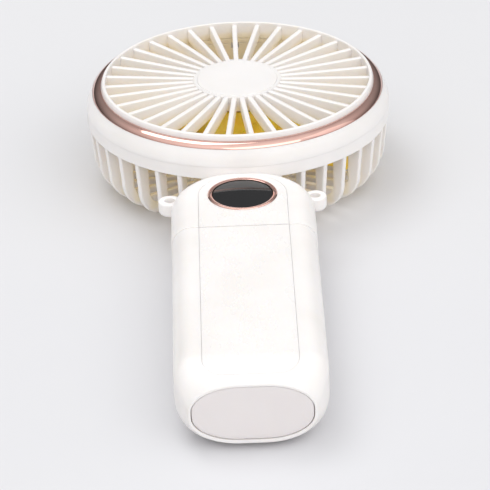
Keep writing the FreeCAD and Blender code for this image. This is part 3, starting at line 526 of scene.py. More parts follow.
finishes = {
    # The shell, grille and cage whites get painted shade and painted bounce light deep in the head.
    "shell_white": whitePlastic("shellWhite", ledgeShadeDepth),
    "grille_white": whitePlastic("grilleWhite", grilleShadeDepth),
    "cap_white": whitePlastic("capWhite", rough=0.36),
    "cage_white": whitePlastic("cageWhite", cageShadeDepth),
    "panel_white": whitePlastic("panelWhite", rough=0.3),
    "plate_grey": whitePlastic("plateGrey", rough=0.42, white=tone(235, 229, 228), shade=tone(232, 226, 225)),
    "base_white": paintedPlastic("baseWhite", tone(226, 222, 214), tone(212, 207, 198)),
    "rose_gold": roseGold("roseGold"),
    "lens_black": blackLens("lensBlack"),
    "blade_yellow": bladeYellow("bladeYellow"),
    "screw_steel": metal("screwSteel", tone(190, 190, 192), tone(160, 160, 164), 0.28),
    "pin_steel": metal("pinSteel", tone(200, 200, 202), tone(172, 172, 176), 0.22, 300.0, (0.1, 1, 1)),
    "core_steel": metal("coreSteel", tone(120, 120, 126), tone(96, 96, 102), 0.38, 900.0, (1, 1, 6)),
    "magnet_dark": paintedPlastic("magnetDark", tone(52, 52, 56), tone(38, 38, 42), 0.5),
    "copper": metal("copper", tone(196, 116, 72), tone(164, 88, 50), 0.3, 1600.0, (1, 1, 8)),
    "bronze": metal("bronze", tone(176, 138, 84), tone(150, 112, 64), 0.4, 1200.0),
    "board_green": paintedPlastic("boardGreen", tone(30, 78, 58), tone(22, 64, 47), 0.35),
    "switch_black": paintedPlastic("switchBlack", tone(34, 34, 36), tone(24, 24, 26), 0.45),
    "led_clear": paintedPlastic("ledClear", tone(236, 234, 224), tone(222, 218, 204), 0.2),
    "cell_wrap": paintedPlastic("cellWrap", tone(70, 130, 170), tone(58, 114, 152), 0.3, 120.0),
    "contact_metal": metal("contactMetal", tone(206, 202, 192), tone(184, 178, 166), 0.25),
}
print("finishes mixed")

# Front grille: a rim, straight ribs and a hub that takes the cap.
grille = {"rimInner": 39.0, "rimOuter": 40.3, "foot": 26.6, "crest": 32.0, "shoulder": 30.5, "rimRound": 0.32,
          "rimSteps": 210, "ribs": 35, "ribWidth": 1.5, "ribTop": 31.1, "ribFoot": 27.5, "ribRound": 0.36,
          "hub": 13.0, "hubTop": 31.2, "hubWall": 1.2, "hubFace": 1.4, "hubSteps": 140, "seat": 11.85,
          "seatDepth": 0.68, "hubRound": 0.12, "crestEdge": 0.45, "crestDrop": 0.05}


def makeFrontGrille():
    g = grille
    rim = turned("rim", [(g["rimInner"], g["foot"]), (g["rimInner"], g["crest"]),
                         (g["rimOuter"] - g["crestEdge"], g["crest"] - g["crestDrop"]),
                         (g["rimOuter"], g["shoulder"]), (g["rimOuter"], g["foot"])], g["rimSteps"])
    rounded(rim, g["rimRound"], segments=4, angle=18)
    inner = g["hub"] - g["hubWall"]
    face = g["hubTop"] - g["hubFace"]
    seat = g["hubTop"] - g["seatDepth"]
    hub = turned("hub", [(0, face), (inner, face), (inner, g["foot"]), (g["hub"], g["foot"]),
                         (g["hub"], g["hubTop"]), (g["seat"], g["hubTop"]), (g["seat"], seat), (0, seat)],
                 g["hubSteps"])
    rounded(hub, g["hubRound"])
    start, end = g["hub"] - g["hubWall"] / 2, (g["rimInner"] + g["rimOuter"]) / 2
    rib = block(start, end, -g["ribWidth"] / 2, g["ribWidth"] / 2, g["ribFoot"], g["ribTop"])
    edit(rib)
    choose(rib, "EDGE", lambda e: all(v.co.z > g["ribTop"] - close for v in e.verts)
           and abs(e.verts[0].co.y - e.verts[1].co.y) < close)
    bevelEdges(g["ribRound"], segments=3)
    leaveEdit()
    ribs = ringOf(rib, g["ribs"], pi / 2)
    finished(joined([rim, hub, ribs]), "frontGrille", "head", "grille_white", ["front_grille"])


grilleCap = {"radius": 11.8, "low": 30.57, "top": 31.32, "crown": 0.03, "round": 0.14, "steps": 140}


def makeGrilleCap():
    c = grilleCap
    piece = turned("grilleCap", [(0, c["low"]), (c["radius"], c["low"]), (c["radius"], c["top"] - c["crown"]),
                                 (0, c["top"])], c["steps"])
    rounded(piece, c["round"], segments=3, angle=30)
    finished(piece, "grilleCap", "head", "cap_white", ["grille_cap"])


trim = {"inner": (40.38, 30.42), "outer": (42.88, 28.93), "bulge": 0.42, "arcSteps": 10, "edge": 0.66,
        "thick": 1.1, "round": 0.10, "steps": 210}


def makeTrimRing():
    t = trim
    profile = [t["inner"]] + arcPoints(t["inner"], t["outer"], t["bulge"], t["arcSteps"])
    profile += [(t["outer"][0], t["outer"][1] - t["edge"]), (t["inner"][0], t["inner"][1] - t["thick"])]
    piece = turned("trimRing", profile, t["steps"])
    rounded(piece, t["round"], segments=3, angle=30)
    finished(piece, "trimRing", "head", "rose_gold", ["head_trim_ring"])


frontShell = {"top": (42.96, 28.93), "foot": (44.8, 24.15), "bulge": 0.28, "arcSteps": 10, "spigot": 43.0,
              "spigotFoot": 22.5, "spigotInner": 41.8, "ledge": 39.05, "ledgeLow": 25.2, "ledgeTop": 26.55,
              "bore": 40.4, "boreTop": 29.24, "seat": 28.11, "round": 0.06, "steps": 210}


def makeFrontShell():
    s = frontShell
    profile = [s["top"]] + arcPoints(s["top"], s["foot"], s["bulge"], s["arcSteps"])
    profile += [(s["spigot"], s["foot"][1]), (s["spigot"], s["spigotFoot"]),
                (s["spigotInner"], s["spigotFoot"]), (s["spigotInner"], s["ledgeLow"]),
                (s["ledge"], s["ledgeLow"]), (s["ledge"], s["ledgeTop"]),
                (s["bore"], s["ledgeTop"]), (s["bore"], s["boreTop"]), (s["top"][0], s["seat"])]
    piece = turned("frontShell", profile, s["steps"])
    rounded(piece, s["round"], segments=3, angle=30)
    finished(piece, "frontShell", "head", "shell_white", ["front_shell"])


# Rear cage: a band, a duct ring inside it, ribs that run down the side and in along the back, and a hub.
cage = {"band": 44.72, "bandWall": 1.6, "top": 24.1, "slotTop": 20.3, "bandRound": 0.08, "steps": 228,
        "ribs": 38, "ribWidth": 1.5, "ribRound": 0.42, "sideTop": 44.55, "side": (43.65, 12.0),
        "corner": (37.0, 2.0), "bulge": 1.95, "hubEdge": (16.9, 0.02), "arcSteps": 9, "formSteps": 12,
        "formTop": 32, "innerSide": 39.9, "innerTurn": 9.4, "innerCorner": (35.3, 4.65), "innerBulge": 0.9,
        "innerEnd": (15.4, 3.1), "overlap": 0.02, "hub": 17.0, "hubThick": 3.2, "hubRound": 0.5,
        "seatHalf": 14.2, "seatInset": 0.15, "seatSteps": 12, "duct": 39.05, "ductWall": 1.3,
        "ductLow": 19.5, "ductTop": 25.1, "ductRound": 0.15, "notch": 2.5, "notchLow": 23.2}


# Carries the chosen edge from one outer and inner (radius, z) to the next.
def carryEdge(old, new):
    (oldOut, oldIn), (newOut, newIn) = old, new
    move = (Vector(newOut) + Vector(newIn) - Vector(oldOut) - Vector(oldIn)) / 2
    oldSpan, newSpan = Vector(oldOut) - Vector(oldIn), Vector(newOut) - Vector(newIn)
    middle = (Vector(newOut) + Vector(newIn)) / 2
    centre = (middle.x, 0, middle.y)
    angle = atan2(oldSpan.y, oldSpan.x) - atan2(newSpan.y, newSpan.x)
    ratio = newSpan.length / oldSpan.length
    bpy.ops.transform.translate(value=(move.x, 0, move.y))
    turn(angle, "Y", centre)
    bpy.ops.transform.resize(value=(ratio, ratio, ratio), center_override=centre)


# A flat strip drawn out from edge to edge; each pair is an outer and an inner (radius, z).
def strip(name, pairs):
    letGo()
    half = 0.5
    bpy.ops.mesh.primitive_plane_add(size=2 * half, rotation=(pi / 2, 0, 0))
    piece = bpy.context.object
    piece.name = name
    settle(rotation=True)
    edit(piece)
    choose(piece, "EDGE", lambda e: all(v.co.z > half - close for v in e.verts))
    carryEdge(((half, half), (-half, half)), pairs[0])
    choose(piece, "EDGE", lambda e: all(abs(v.co.z + half) < weld for v in e.verts))
    carryEdge(((half, -half), (-half, -half)), pairs[1])
    for old, new in zip(pairs[1:], pairs[2:]):
        drawOut(0, 0, 0)
        carryEdge(old, new)
    leaveEdit()
    return piece


# The outer and inner points down a rib and in along the back; inset draws them in.
def ribPairs(inset=0.0):
    c = cage
    arc = [c["side"]] + arcPoints(c["side"], c["corner"], c["bulge"], c["arcSteps"])
    innerTurn = (c["innerSide"], c["innerTurn"])
    inner = [innerTurn] + arcPoints(innerTurn, c["innerCorner"], c["innerBulge"], c["arcSteps"])
    top = c["slotTop"] + c["overlap"]
    pairs = [((c["sideTop"], top), (c["innerSide"], top))]
    pairs += list(zip(arc, inner))
    pairs += [(c["hubEdge"], c["innerEnd"])]
    return [((o[0] - inset, o[1] + inset * (o[1] < c["side"][1])), (i[0] + inset, i[1])) for o, i in pairs]


def makeRearCage():
    c = cage
    inner = c["band"] - c["bandWall"]
    band = turned("band", [(c["band"], c["top"]), (inner, c["top"]), (inner, c["slotTop"]),
                           (c["band"], c["slotTop"])], c["steps"])
    rounded(band, c["bandRound"], segments=3)
    outer = c["duct"] + c["ductWall"]
    duct = turned("duct", [(outer, c["ductTop"]), (c["duct"], c["ductTop"]), (c["duct"], c["ductLow"]),
                           (outer, c["ductLow"])], c["steps"])
    rounded(duct, c["ductRound"])
    carve(duct, block(-c["notch"] / 2, c["notch"] / 2, c["duct"] - 2 * past, outer + past,
                      c["notchLow"], c["ductTop"] + past))
    rib = strip("rib", ribPairs())
    edit(rib, "FACE")
    bpy.ops.transform.translate(value=(0, -c["ribWidth"] / 2, 0))
    drawOut(0, c["ribWidth"], 0)
    leaveEdit()
    outward(rib)
    rounded(rib, c["ribRound"], segments=3, angle=60)
    ribs = ringOf(rib, c["ribs"], -pi / 2 + pi / c["ribs"])
    hub = turned("hub", [(0, 0), (c["hub"], 0), (c["hub"], c["hubThick"]), (0, c["hubThick"])], c["steps"])
    rounded(hub, c["hubRound"], segments=3)
    # The neck's seat fills the ribs' section over an arc, and ends in a flat face inside.
    seat = strip("seat", ribPairs(c["seatInset"]))
    half = radians(c["seatHalf"])
    edit(seat, "FACE")
    turn(-pi / 2 - half, "Z", (0, 0, 0))
    bpy.ops.mesh.spin(steps=c["seatSteps"], angle=-2 * half, center=(0, 0, 0), axis=(0, 0, 1))
    choose(seat, "FACE", lambda f: True)
    bpy.ops.mesh.bisect(plane_co=(0, -c["innerCorner"][0], 0), plane_no=(0, 1, 0), use_fill=True,
                        clear_outer=True)
    leaveEdit()
    outward(seat)
    finished(joined([band, duct, ribs, hub, seat]), "rearCage", "head", "cage_white", ["rear_cage"])


# Impeller: a hub with five twisted blades.
wheel = {"hub": 12.5, "top": 25.9, "foot": 8.6, "wall": 1.4, "round": 0.3, "blades": 5, "first": -pi / 2,
         "low": 9.6, "high": 22.4, "tip": 37.3, "rootPitch": 48.0, "tipPitch": 29.0, "camber": 1.3,
         "rootThick": 1.6, "tipThick": 1.0, "stations": 12, "across": 8, "endGap": 0.5, "edge": 0.16,
         "edgeThin": 0.62, "thinPower": 3, "reachSteps": 288, "boss": 2.6, "bossLow": 21.1, "bore": 1.0,
         "steps": 128}


# At each station the blade gets its chord, its camber, thinner edges and its pitch.
def makeBlade():
    w = wheel
    letGo()
    first, last = w["hub"] - w["wall"], w["tip"] + past
    step = (last - first) / w["stations"]
    middle = (w["low"] + w["high"]) / 2
    bpy.ops.mesh.primitive_grid_add(x_subdivisions=w["across"], y_subdivisions=1, size=2)
    piece = bpy.context.object
    piece.name = "blade"
    edit(piece, "FACE")
    turn(pi / 2, "Y", (0, 0, 0))
    turn(pi / 2, "X", (0, 0, 0))
    bpy.ops.transform.translate(value=(first, 0, middle))
    for index in range(w["stations"]):
        drawOut(step, 0, 0)
    for index in range(w["stations"] + 1):
        share = index / w["stations"]
        x = blend(first, last, share)
        pitch = radians(blend(w["rootPitch"], w["tipPitch"], share))
        thick = blend(w["rootThick"], w["tipThick"], share)
        chord = ((w["high"] - w["low"]) / 2 - w["endGap"]) / sin(pitch)
        near = lambda v: abs(v.co.x - x) < close
        choose(piece, "VERT", near)
        bpy.ops.transform.resize(value=(1, chord, thick / 2), center_override=(x, 0, middle))
        for column in range(w["across"] + 1):
            place = -1 + 2 * column / w["across"]
            if choose(piece, "VERT", lambda v: near(v) and abs(v.co.y - place * chord) < close):
                rise = w["camber"] * (1 - place * place)
                bpy.ops.transform.translate(value=(0, 0, rise))
                thin = 1 - w["edgeThin"] * abs(place) ** w["thinPower"]
                bpy.ops.transform.resize(value=(1, 1, thin), center_override=(x, 0, middle + rise))
        choose(piece, "VERT", near)
        turn(pitch, "X", (x, 0, middle))
    leaveEdit()
    outward(piece)
    return piece


def makeImpeller():
    w = wheel
    blade = makeBlade()
    reach = turned("reach", [(0, 0), (w["tip"], 0), (w["tip"], w["top"]), (0, w["top"])], w["reachSteps"])
    carve(blade, reach, "INTERSECT")
    rounded(blade, w["edge"], angle=50)
    blades = ringOf(blade, w["blades"], w["first"])
    inner, face = w["hub"] - w["wall"], w["top"] - w["wall"]
    hub = turned("hub", [(w["bore"], w["bossLow"]), (w["boss"], w["bossLow"]), (w["boss"], face),
                         (inner, face), (inner, w["foot"]), (w["hub"], w["foot"]), (w["hub"], w["top"]),
                         (0, w["top"]), (0, face), (w["bore"], face)], w["steps"])
    rounded(hub, w["round"], segments=3)
    finished(joined([hub, blades]), "impellerWheel", "impeller", "blade_yellow", ["impeller"])


# The neck and the handle share one section; the two meet at the seam, where the hinge lies.
body = {"thick": 23.0, "half": 20.0, "frontCorner": 5.6, "backCorner": 11.2, "cornerSteps": 14, "wall": 1.8,
        "seam": -78.0, "seamGap": 0.3, "lip": 0.2, "groove": 0.06, "grooveRound": 0.03, "panelHalf": 12.4,
        "panelThick": 2.0, "ledge": 1.5, "roomTop": 19.6, "roomSlope": 6.2}
neckFoot = body["seam"] + body["seamGap"] / 2
handleTop = body["seam"] - body["seamGap"] / 2
panelFloor = body["thick"] - body["panelThick"]
panelInner = body["panelHalf"] - body["ledge"]

neck = {"half": 20.2, "top": -42.0, "shoulder": 18.0, "eyeX": 20.6, "eyeY": -52.5, "eye": 3.2, "hole": 1.5,
        "eyeLow": 14.3, "eyeTop": 18.5, "eyeUnder": 1.4, "underSteps": 6, "eyeRound": 0.45, "roundSteps": 4,
        "eyeSteps": 64, "holeRound": 0.18, "holeSteps": 48, "drill": 40, "drillZ": 10, "button": -59.0,
        "sleeve": 9.23, "sleeveDepth": 10, "sleeveSteps": 96, "fit": 0.06, "postX": 10.4, "post": 2.2,
        "postBore": 0.82, "postTop": 12.35, "postSteps": 32, "shellSteps": 24, "roomSteps": 16,
        "panelSteps": 30, "windowSteps": 24}
hinge = {"barrel": 3.5, "pin": 1.22, "pinRun": 1.25, "clear": 0.25, "centre": 6.2, "gap": 0.2, "outer": 10.8,
         "block": 1.3, "notch": 0.15, "edge": 0.25, "steps": 64}


# A round bar along X on the hinge's axis.
def hingeBar(radius, low, high, edge=0.0):
    place = ((low + high) / 2, body["seam"], hinge["barrel"])
    bar = roundBar(radius, high - low, hinge["steps"], place, (0, pi / 2, 0))
    settle(location=True, rotation=True)
    if edge:
        rounded(bar, edge)
    return bar


# A strip with a round top, as wide as the neck or its panel.
def archPlate(name, half, top, foot, shoulder, low, high, segments):
    plate = roundPlate(name, half, (top - foot) / 2, (shoulder, shoulder, 0, 0), low, high, segments)
    shift(plate, (0, (top + foot) / 2, 0))
    return plate


# The head's outside as one solid, grown a little, for trimming what stands against it.
def headForm(grow):
    c = cage
    shell, band = frontShell["foot"][0] + grow, c["band"] + grow
    profile = [(0, c["formTop"]), (shell, c["formTop"]), (shell, c["top"]), (band, c["top"]),
               (band, c["slotTop"])]
    arc = [c["side"]] + arcPoints(c["side"], c["corner"], c["bulge"], c["formSteps"])
    profile += [(r + grow, z) for r, z in arc[:-1]]
    profile += [(c["corner"][0] + grow, c["corner"][1] - grow), (c["hub"], -grow), (0, -grow)]
    return turned("headForm", profile, c["steps"])


# The hollow of the neck, kept clear of the head, the sloped back edges and the hinge.
def neckRoom():
    b, n, h = body, neck, hinge
    wall = b["wall"]
    foot = neckFoot + wall
    room = archPlate("neckRoom", n["half"] - wall, n["top"] - wall, foot, n["shoulder"] - wall, wall,
                     b["roomTop"], n["roomSteps"])
    edit(room)
    choose(room, "EDGE", lambda e: all(v.co.z < wall + close for v in e.verts)
           and not all(abs(v.co.y - foot) < close for v in e.verts))
    bevelEdges(b["roomSlope"], segments=1)
    leaveEdit()
    carve(room, headForm(wall))
    wide, deep = n["half"], 2 * h["barrel"] + h["clear"] + h["block"]
    carve(room, block(-wide, wide, b["seam"] - past, b["seam"] + h["barrel"] + h["notch"] + h["block"],
                      -past, deep))
    return room


# One lanyard eye before it is bored, rounded underneath and at its top edge. A quarter round swells past
# its chord by the share called quarter.
def lanyardEye(x):
    n = neck
    quarter = 1 - sqrt(0.5)
    under = [(n["eye"] - n["eyeUnder"], n["eyeLow"]), (n["eye"], n["eyeLow"] + n["eyeUnder"])]
    top = [(n["eye"], n["eyeTop"] - n["eyeRound"]), (n["eye"] - n["eyeRound"], n["eyeTop"])]
    profile = [(0, n["eyeLow"]), under[0]] + arcPoints(*under, quarter * n["eyeUnder"], n["underSteps"])
    profile += [top[0]] + arcPoints(*top, quarter * n["eyeRound"], n["roundSteps"]) + [(0, n["eyeTop"])]
    return turned("eye", profile, n["eyeSteps"], (x, n["eyeY"], 0))


# Bores one eye through the shell and rounds both ends of its hole.
def boreEye(shell, x):
    n = neck
    carve(shell, roundBar(n["hole"], n["drill"], n["holeSteps"], (x, n["eyeY"], n["drillZ"])))
    edit(shell)
    atHole = lambda v: abs(hypot(v.co.x - x, v.co.y - n["eyeY"]) - n["hole"]) < close
    atEnd = lambda v: min(abs(v.co.z - n["eyeTop"]), abs(v.co.z - n["eyeLow"])) < close
    choose(shell, "EDGE", lambda e: all(atHole(v) for v in e.verts)
           and abs(e.verts[0].co.z - e.verts[1].co.z) < weld and atEnd(e.verts[0]))
    bevelEdges(n["holeRound"], segments=3)
    leaveEdit()


def makeNeckShell():
    b, n, h = body, neck, hinge
    shell = archPlate("neckShell", n["half"], n["top"], neckFoot, n["shoulder"], 0, b["thick"],
                      n["shellSteps"])
    edit(shell)
    atEnd = lambda e: all(abs(v.co.y - neckFoot) < close for v in e.verts)
    choose(shell, "EDGE", lambda e: all(v.co.z > b["thick"] - close for v in e.verts) and not atEnd(e))
    bevelEdges(b["frontCorner"], b["cornerSteps"])
    choose(shell, "EDGE", lambda e: all(v.co.z < close for v in e.verts) and not atEnd(e))
    bevelEdges(b["backCorner"], b["cornerSteps"])
    choose(shell, "EDGE", atEnd)
    bevelEdges(b["lip"], segments=3)
    leaveEdit()
    for side in (-1, 1):
        carve(shell, lanyardEye(side * n["eyeX"]), "UNION")
    carve(shell, neckRoom())
    sunk = b["wall"] / 2
    for side in (-1, 1):
        boreEye(shell, side * n["eyeX"])
        post = turned("post", [(n["postBore"], sunk), (n["post"], sunk), (n["post"], n["postTop"]),
                               (n["postBore"], n["postTop"])], n["postSteps"],
                      (side * n["postX"], n["button"], 0))
        carve(shell, post, "UNION")
    carve(shell, headForm(n["fit"]))
    grown = b["panelHalf"] + b["groove"]
    carve(shell, archPlate("recess", grown, n["button"] + grown, neckFoot - 2 * past, grown, panelFloor,
                           b["thick"] + past, n["panelSteps"]))
    carve(shell, archPlate("window", panelInner, n["button"] + panelInner, neckFoot + 2 * b["wall"],
                           panelInner, b["roomTop"] - past, panelFloor + past, n["windowSteps"]))
    wide = n["half"] + past
    carve(shell, block(-wide, wide, b["seam"] - past, b["seam"] + h["barrel"] + h["notch"],
                       -past, h["barrel"]))
    reach = h["centre"] + h["gap"]
    carve(shell, hingeBar(h["barrel"] + h["clear"], -reach, reach))
    for low, high in ((reach, h["outer"]), (-h["outer"], -reach)):
        carve(shell, hingeBar(h["barrel"], low, high, h["edge"]), "UNION")
    carve(shell, hingeBar(h["pin"], -h["outer"] - past, h["outer"] + past))
    outward(shell)
    finished(shell, "neckShell", "head", "shell_white", ["neck_shell"])


def makeNeckPanel():
    b, n = body, neck
    panel = archPlate("neckPanel", b["panelHalf"], n["button"] + b["panelHalf"], neckFoot, b["panelHalf"],
                      panelFloor, b["thick"], n["panelSteps"])
    rounded(panel, b["grooveRound"])
    carve(panel, roundBar(n["sleeve"], n["sleeveDepth"], n["sleeveSteps"], (0, n["button"], b["thick"])))
    finished(panel, "neckPanel", "head", "panel_white", ["neck_panel"])


# The button's bezel lies on the neck panel, with a fine line turned in its crown.
button = {"place": (0, neck["button"], 0), "bezel": 9.83, "bezelInner": 8.62, "face": body["thick"],
          "proud": 0.38, "innerProud": 0.22, "cone": 0.62, "crownEnd": 0.30, "line": 0.06,
          "lineDepth": 0.14, "stand": 0.05, "flange": 0.7, "sleeve": 2.6, "bezelRound": 0.05,
          "lens": 8.40, "edge": 23.05, "dome": 0.55, "domeStep": 9, "lensRound": 0.16, "seat": 9.3,
          "seatTop": 20.3, "seatLow": 19.5, "stem": 1.6, "stemLow": 17.9, "steps": 128}


def makeButton():
    b = button
    sleeve, foot = b["bezel"] - b["flange"], b["face"] - b["sleeve"]
    top, rest = b["face"] + b["proud"], b["face"] + b["stand"]
    line = b["bezelInner"] + b["cone"]
    bezel = turned("buttonBezel", [(b["bezelInner"], foot), (b["bezelInner"], b["face"] + b["innerProud"]),
                                   (line - b["line"], top), (line, top - b["lineDepth"]),
                                   (line + b["line"], top), (b["bezel"] - b["crownEnd"], top),
                                   (b["bezel"], rest), (sleeve, rest), (sleeve, foot)],
                   b["steps"], b["place"])
    rounded(bezel, b["bezelRound"], segments=4, angle=15)
    finished(bezel, "buttonBezel", "head", "rose_gold", ["button_bezel"])
    ball = (b["lens"] ** 2 + b["dome"] ** 2) / (2 * b["dome"])
    radii = [b["lens"] * cos(radians(angle)) for angle in range(0, 90, b["domeStep"])] + [0]
    dome = [(r, b["edge"] + sqrt(ball ** 2 - r ** 2) - (ball - b["dome"])) for r in radii]
    stem = [(0, b["stemLow"]), (b["stem"], b["stemLow"]), (b["stem"], b["seatLow"]),
            (b["seat"], b["seatLow"]), (b["seat"], b["seatTop"]), (b["lens"], b["seatTop"])]
    lens = turned("buttonLens", stem + dome, b["steps"], b["place"])
    rounded(lens, b["lensRound"], segments=3)
    finished(lens, "buttonLens", "button", "lens_black", ["power_button"])


# The handle's outside, its end plate and panel, the charging port and the room for the cell.
handle = {"end": -158.5, "rounding": 11.0, "endTurn": 34.0, "endSteps": 10, "plateHalf": 15.6,
          "plateLow": 3.7, "plateHigh": 19.0, "cornerX": 12.2, "cornerZ": 6.8, "plateThick": 2.0,
          "plateGap": 0.2, "rim": 0.8, "mouthEdge": 0.5, "under": 0.35, "slopeWidth": 1.5, "slopeDepth": 0.25,
          "plateRound": 0.2, "seat": 0.05, "panelEnd": -155.5, "panelCorner": 5.0, "footDepth": 1.0,
          "footTo": -154.1, "usb": (8.94, 3.26), "usbGap": 0.1, "usbY": -86.03, "usbCorner": 1.2,
          "usbSteps": 6, "usbRoom": 9.0, "roomEnd": -147.5, "cell": 9.45, "cellSteps": 96, "cellZ": 11.25,
          "cellEnd": -153.51, "pocket": 6.1, "pocketEnd": -155.1, "pocketOverlap": 0.1}


# A rounded outline standing in the plane at y. Its low and high corners are widths and heights.
def standing(name, y, half, low, high, lowCorner, highCorner):
    form = roundPlate(name, half, (high - low) / 2, (highCorner, highCorner, lowCorner, lowCorner), 0, 0,
                      body["cornerSteps"])
    edit(form, "FACE")
    turn(pi / 2, "X", (0, 0, 0))
    bpy.ops.transform.translate(value=(0, y, (low + high) / 2))
    leaveEdit()
    return form


# The end plate's outline, grown all round.
def plateOutline(name, y, grow):
    h = handle
    corner = (h["cornerX"] + grow, h["cornerZ"] + grow)
    return standing(name, y, h["plateHalf"] + grow, h["plateLow"] - grow, h["plateHigh"] + grow,
                    corner, corner)


# The handle's outside: a straight run, sides that lean in along an arc, and the rim round the plate.
def handleForm(name):
    b, h = body, handle
    front, back = (b["frontCorner"],) * 2, (b["backCorner"],) * 2
    rim = h["plateGap"] + h["rim"]
    rimCorner = (h["cornerX"] + rim, h["cornerZ"] + rim)
    turnY, rimY = h["end"] + h["rounding"], h["end"] + h["mouthEdge"]
    last = radians(h["endTurn"])
    levels, forms = [handleTop], [standing(name, handleTop, b["half"], 0, b["thick"], back, front)]
    for index in range(h["endSteps"] + 1):
        angle = last * index / h["endSteps"]
        share = (1 - cos(angle)) / (1 - cos(last))
        levels.append(blend(turnY, rimY, sin(angle) / sin(last)))
        lowCorner = tuple(blend(first, second, share) for first, second in zip(back, rimCorner))
        highCorner = tuple(blend(first, second, share) for first, second in zip(front, rimCorner))
        forms.append(standing("form", levels[-1], blend(b["half"], h["plateHalf"] + rim, share),
                              blend(0, h["plateLow"] - rim - h["under"], share),
                              blend(b["thick"], h["plateHigh"] + rim, share),
                              lowCorner, highCorner))
    for angle in (pi / 6, pi / 3, pi / 2):
        levels.append(rimY - h["mouthEdge"] * sin(angle))
        grow = rim - h["mouthEdge"] * (1 - cos(angle))
        corner = (h["cornerX"] + grow, h["cornerZ"] + grow)
        forms.append(standing("form", levels[-1], h["plateHalf"] + grow, h["plateLow"] - grow - h["under"],
                              h["plateHigh"] + grow, corner, corner))
    form = joined(forms)
    edit(form)
    onLevel = lambda item, y: all(abs(v.co.y - y) < close / 2 for v in item.verts)
    choose(form, "FACE", lambda f: not onLevel(f, levels[0]) and not onLevel(f, levels[-1]))
    bpy.ops.mesh.delete(type="ONLY_FACE")
    for near, far in zip(levels, levels[1:]):
        choose(form, "EDGE", lambda e: onLevel(e, near) or onLevel(e, far))
        bpy.ops.mesh.bridge_edge_loops()
    choose(form, "EDGE", lambda e: onLevel(e, handleTop))
    bevelEdges(b["lip"], segments=3)
    leaveEdit()
    outward(form)
    return form


# The front panel's plan raised through the front face, with a deeper foot at its end.
def panelForm(name, grow):
    b, h = body, handle
    half, corner = b["panelHalf"] + grow, h["panelCorner"] + grow
    top, foot = handleTop + (2 * past if grow else 0), h["panelEnd"] - grow
    plans = []
    for low in (panelFloor, panelFloor - h["footDepth"]):
        plan = roundPlate(name, half, (top - foot) / 2, (0, 0, corner, corner), low, b["thick"] + 2 * past)
        shift(plan, (0, (top + foot) / 2, 0))
        plans.append(plan)
    slab, deep = plans
    carve(deep, block(-half - past, half + past, foot - past, h["footTo"] + grow, 0, b["thick"] + 3 * past),
          "INTERSECT")
    carve(slab, deep, "UNION")
    return slab


# Room for the charging board, and for the cell and its contact in the end.
def handleRoom():
    b, h, k = body, handle, hinge
    half = b["half"] - b["wall"]
    room = block(-half, half, h["roomEnd"], handleTop - b["wall"], b["wall"], b["roomTop"])
    edit(room)
    choose(room, "EDGE", lambda e: all(v.co.z < b["wall"] + close for v in e.verts)
           and abs(e.verts[0].co.x - e.verts[1].co.x) < close)
    bevelEdges(b["roomSlope"], segments=1)
    leaveEdit()
    wide = b["half"]
    blockEnd = b["seam"] - k["barrel"] - k["clear"] - k["block"]
    carve(room, block(-wide, wide, blockEnd, b["seam"], 0, 2 * k["barrel"] + k["clear"] + k["block"]))
    bayEnd = h["roomEnd"] + past
    place = (0, (bayEnd + h["cellEnd"]) / 2, h["cellZ"])
    bay = roundBar(h["cell"], bayEnd - h["cellEnd"], h["cellSteps"], place, (pi / 2, 0, 0))
    settle(location=True, rotation=True)
    carve(room, bay, "UNION")
    side = h["pocket"]
    carve(room, block(-side, side, h["pocketEnd"], h["cellEnd"] + h["pocketOverlap"],
                      h["cellZ"] - side, h["cellZ"] + side), "UNION")
    return room


def makeHandle():
    b, h, k = body, handle, hinge
    form = handleForm("handleShell")
    panel = twin(form, "handlePanel")
    carve(panel, panelForm("slab", 0.0), "INTERSECT")
    finished(panel, "handlePanel", "handle", "panel_white", ["handle_panel"])
    carve(form, handleRoom())
    carve(form, panelForm("recess", b["groove"]))
    carve(form, block(-panelInner, panelInner, h["panelEnd"] + b["ledge"], handleTop - 2 * b["wall"],
                      b["roomTop"] - past, panelFloor + past / 2))
    well = plateOutline("well", h["end"] + h["plateThick"], h["plateGap"])
    edit(well, "FACE")
    drawOut(0, -h["plateThick"] - past, 0)
    leaveEdit()
    outward(well)
    carve(form, well)
    halfX, halfY = (size / 2 + h["usbGap"] for size in h["usb"])
    port = roundPlate("port", halfX, halfY, (h["usbCorner"],) * 4, -past, h["usbRoom"], h["usbSteps"])
    shift(port, (0, h["usbY"], 0))
    carve(form, port)
    for low, high in ((k["centre"], k["outer"] + k["gap"]), (-k["outer"] - k["gap"], -k["centre"])):
        carve(form, hingeBar(k["barrel"] + k["clear"], low, high))
    carve(form, hingeBar(k["barrel"], -k["centre"], k["centre"], k["edge"]), "UNION")
    carve(form, hingeBar(k["pinRun"], -k["outer"] - past, k["outer"] + past))
    outward(form)
    finished(form, "handleShell", "handle", "shell_white", ["handle_shell"])


def makeEndPlate():
    h = handle
    low = h["end"] + h["slopeDepth"]
    plate = plateOutline("endPlate", low, 0.0)
    edit(plate, "FACE")
    inward = h["end"] + h["plateThick"] - h["seat"] - low
    drawOut(0, inward, 0)
    leaveEdit()
    outward(plate)
    edit(plate)
    choose(plate, "FACE", lambda f: all(abs(v.co.y - low) < close for v in f.verts))
    bpy.ops.mesh.inset(thickness=h["slopeWidth"])
    bpy.ops.transform.translate(value=(0, -h["slopeDepth"], 0))
    leaveEdit()
    rounded(plate, h["plateRound"], segments=3)
    finished(plate, "endPlate", "handle", "plate_grey", ["end_plate"])


makeFrontGrille()
makeGrilleCap()
makeTrimRing()
makeFrontShell()
print("front of the head made")
makeRearCage()
print("rear cage made")
makeImpeller()
print("impeller made")
makeNeckShell()
makeNeckPanel()
makeButton()
print("neck and button made")
makeHandle()
makeEndPlate()
print("handle made")

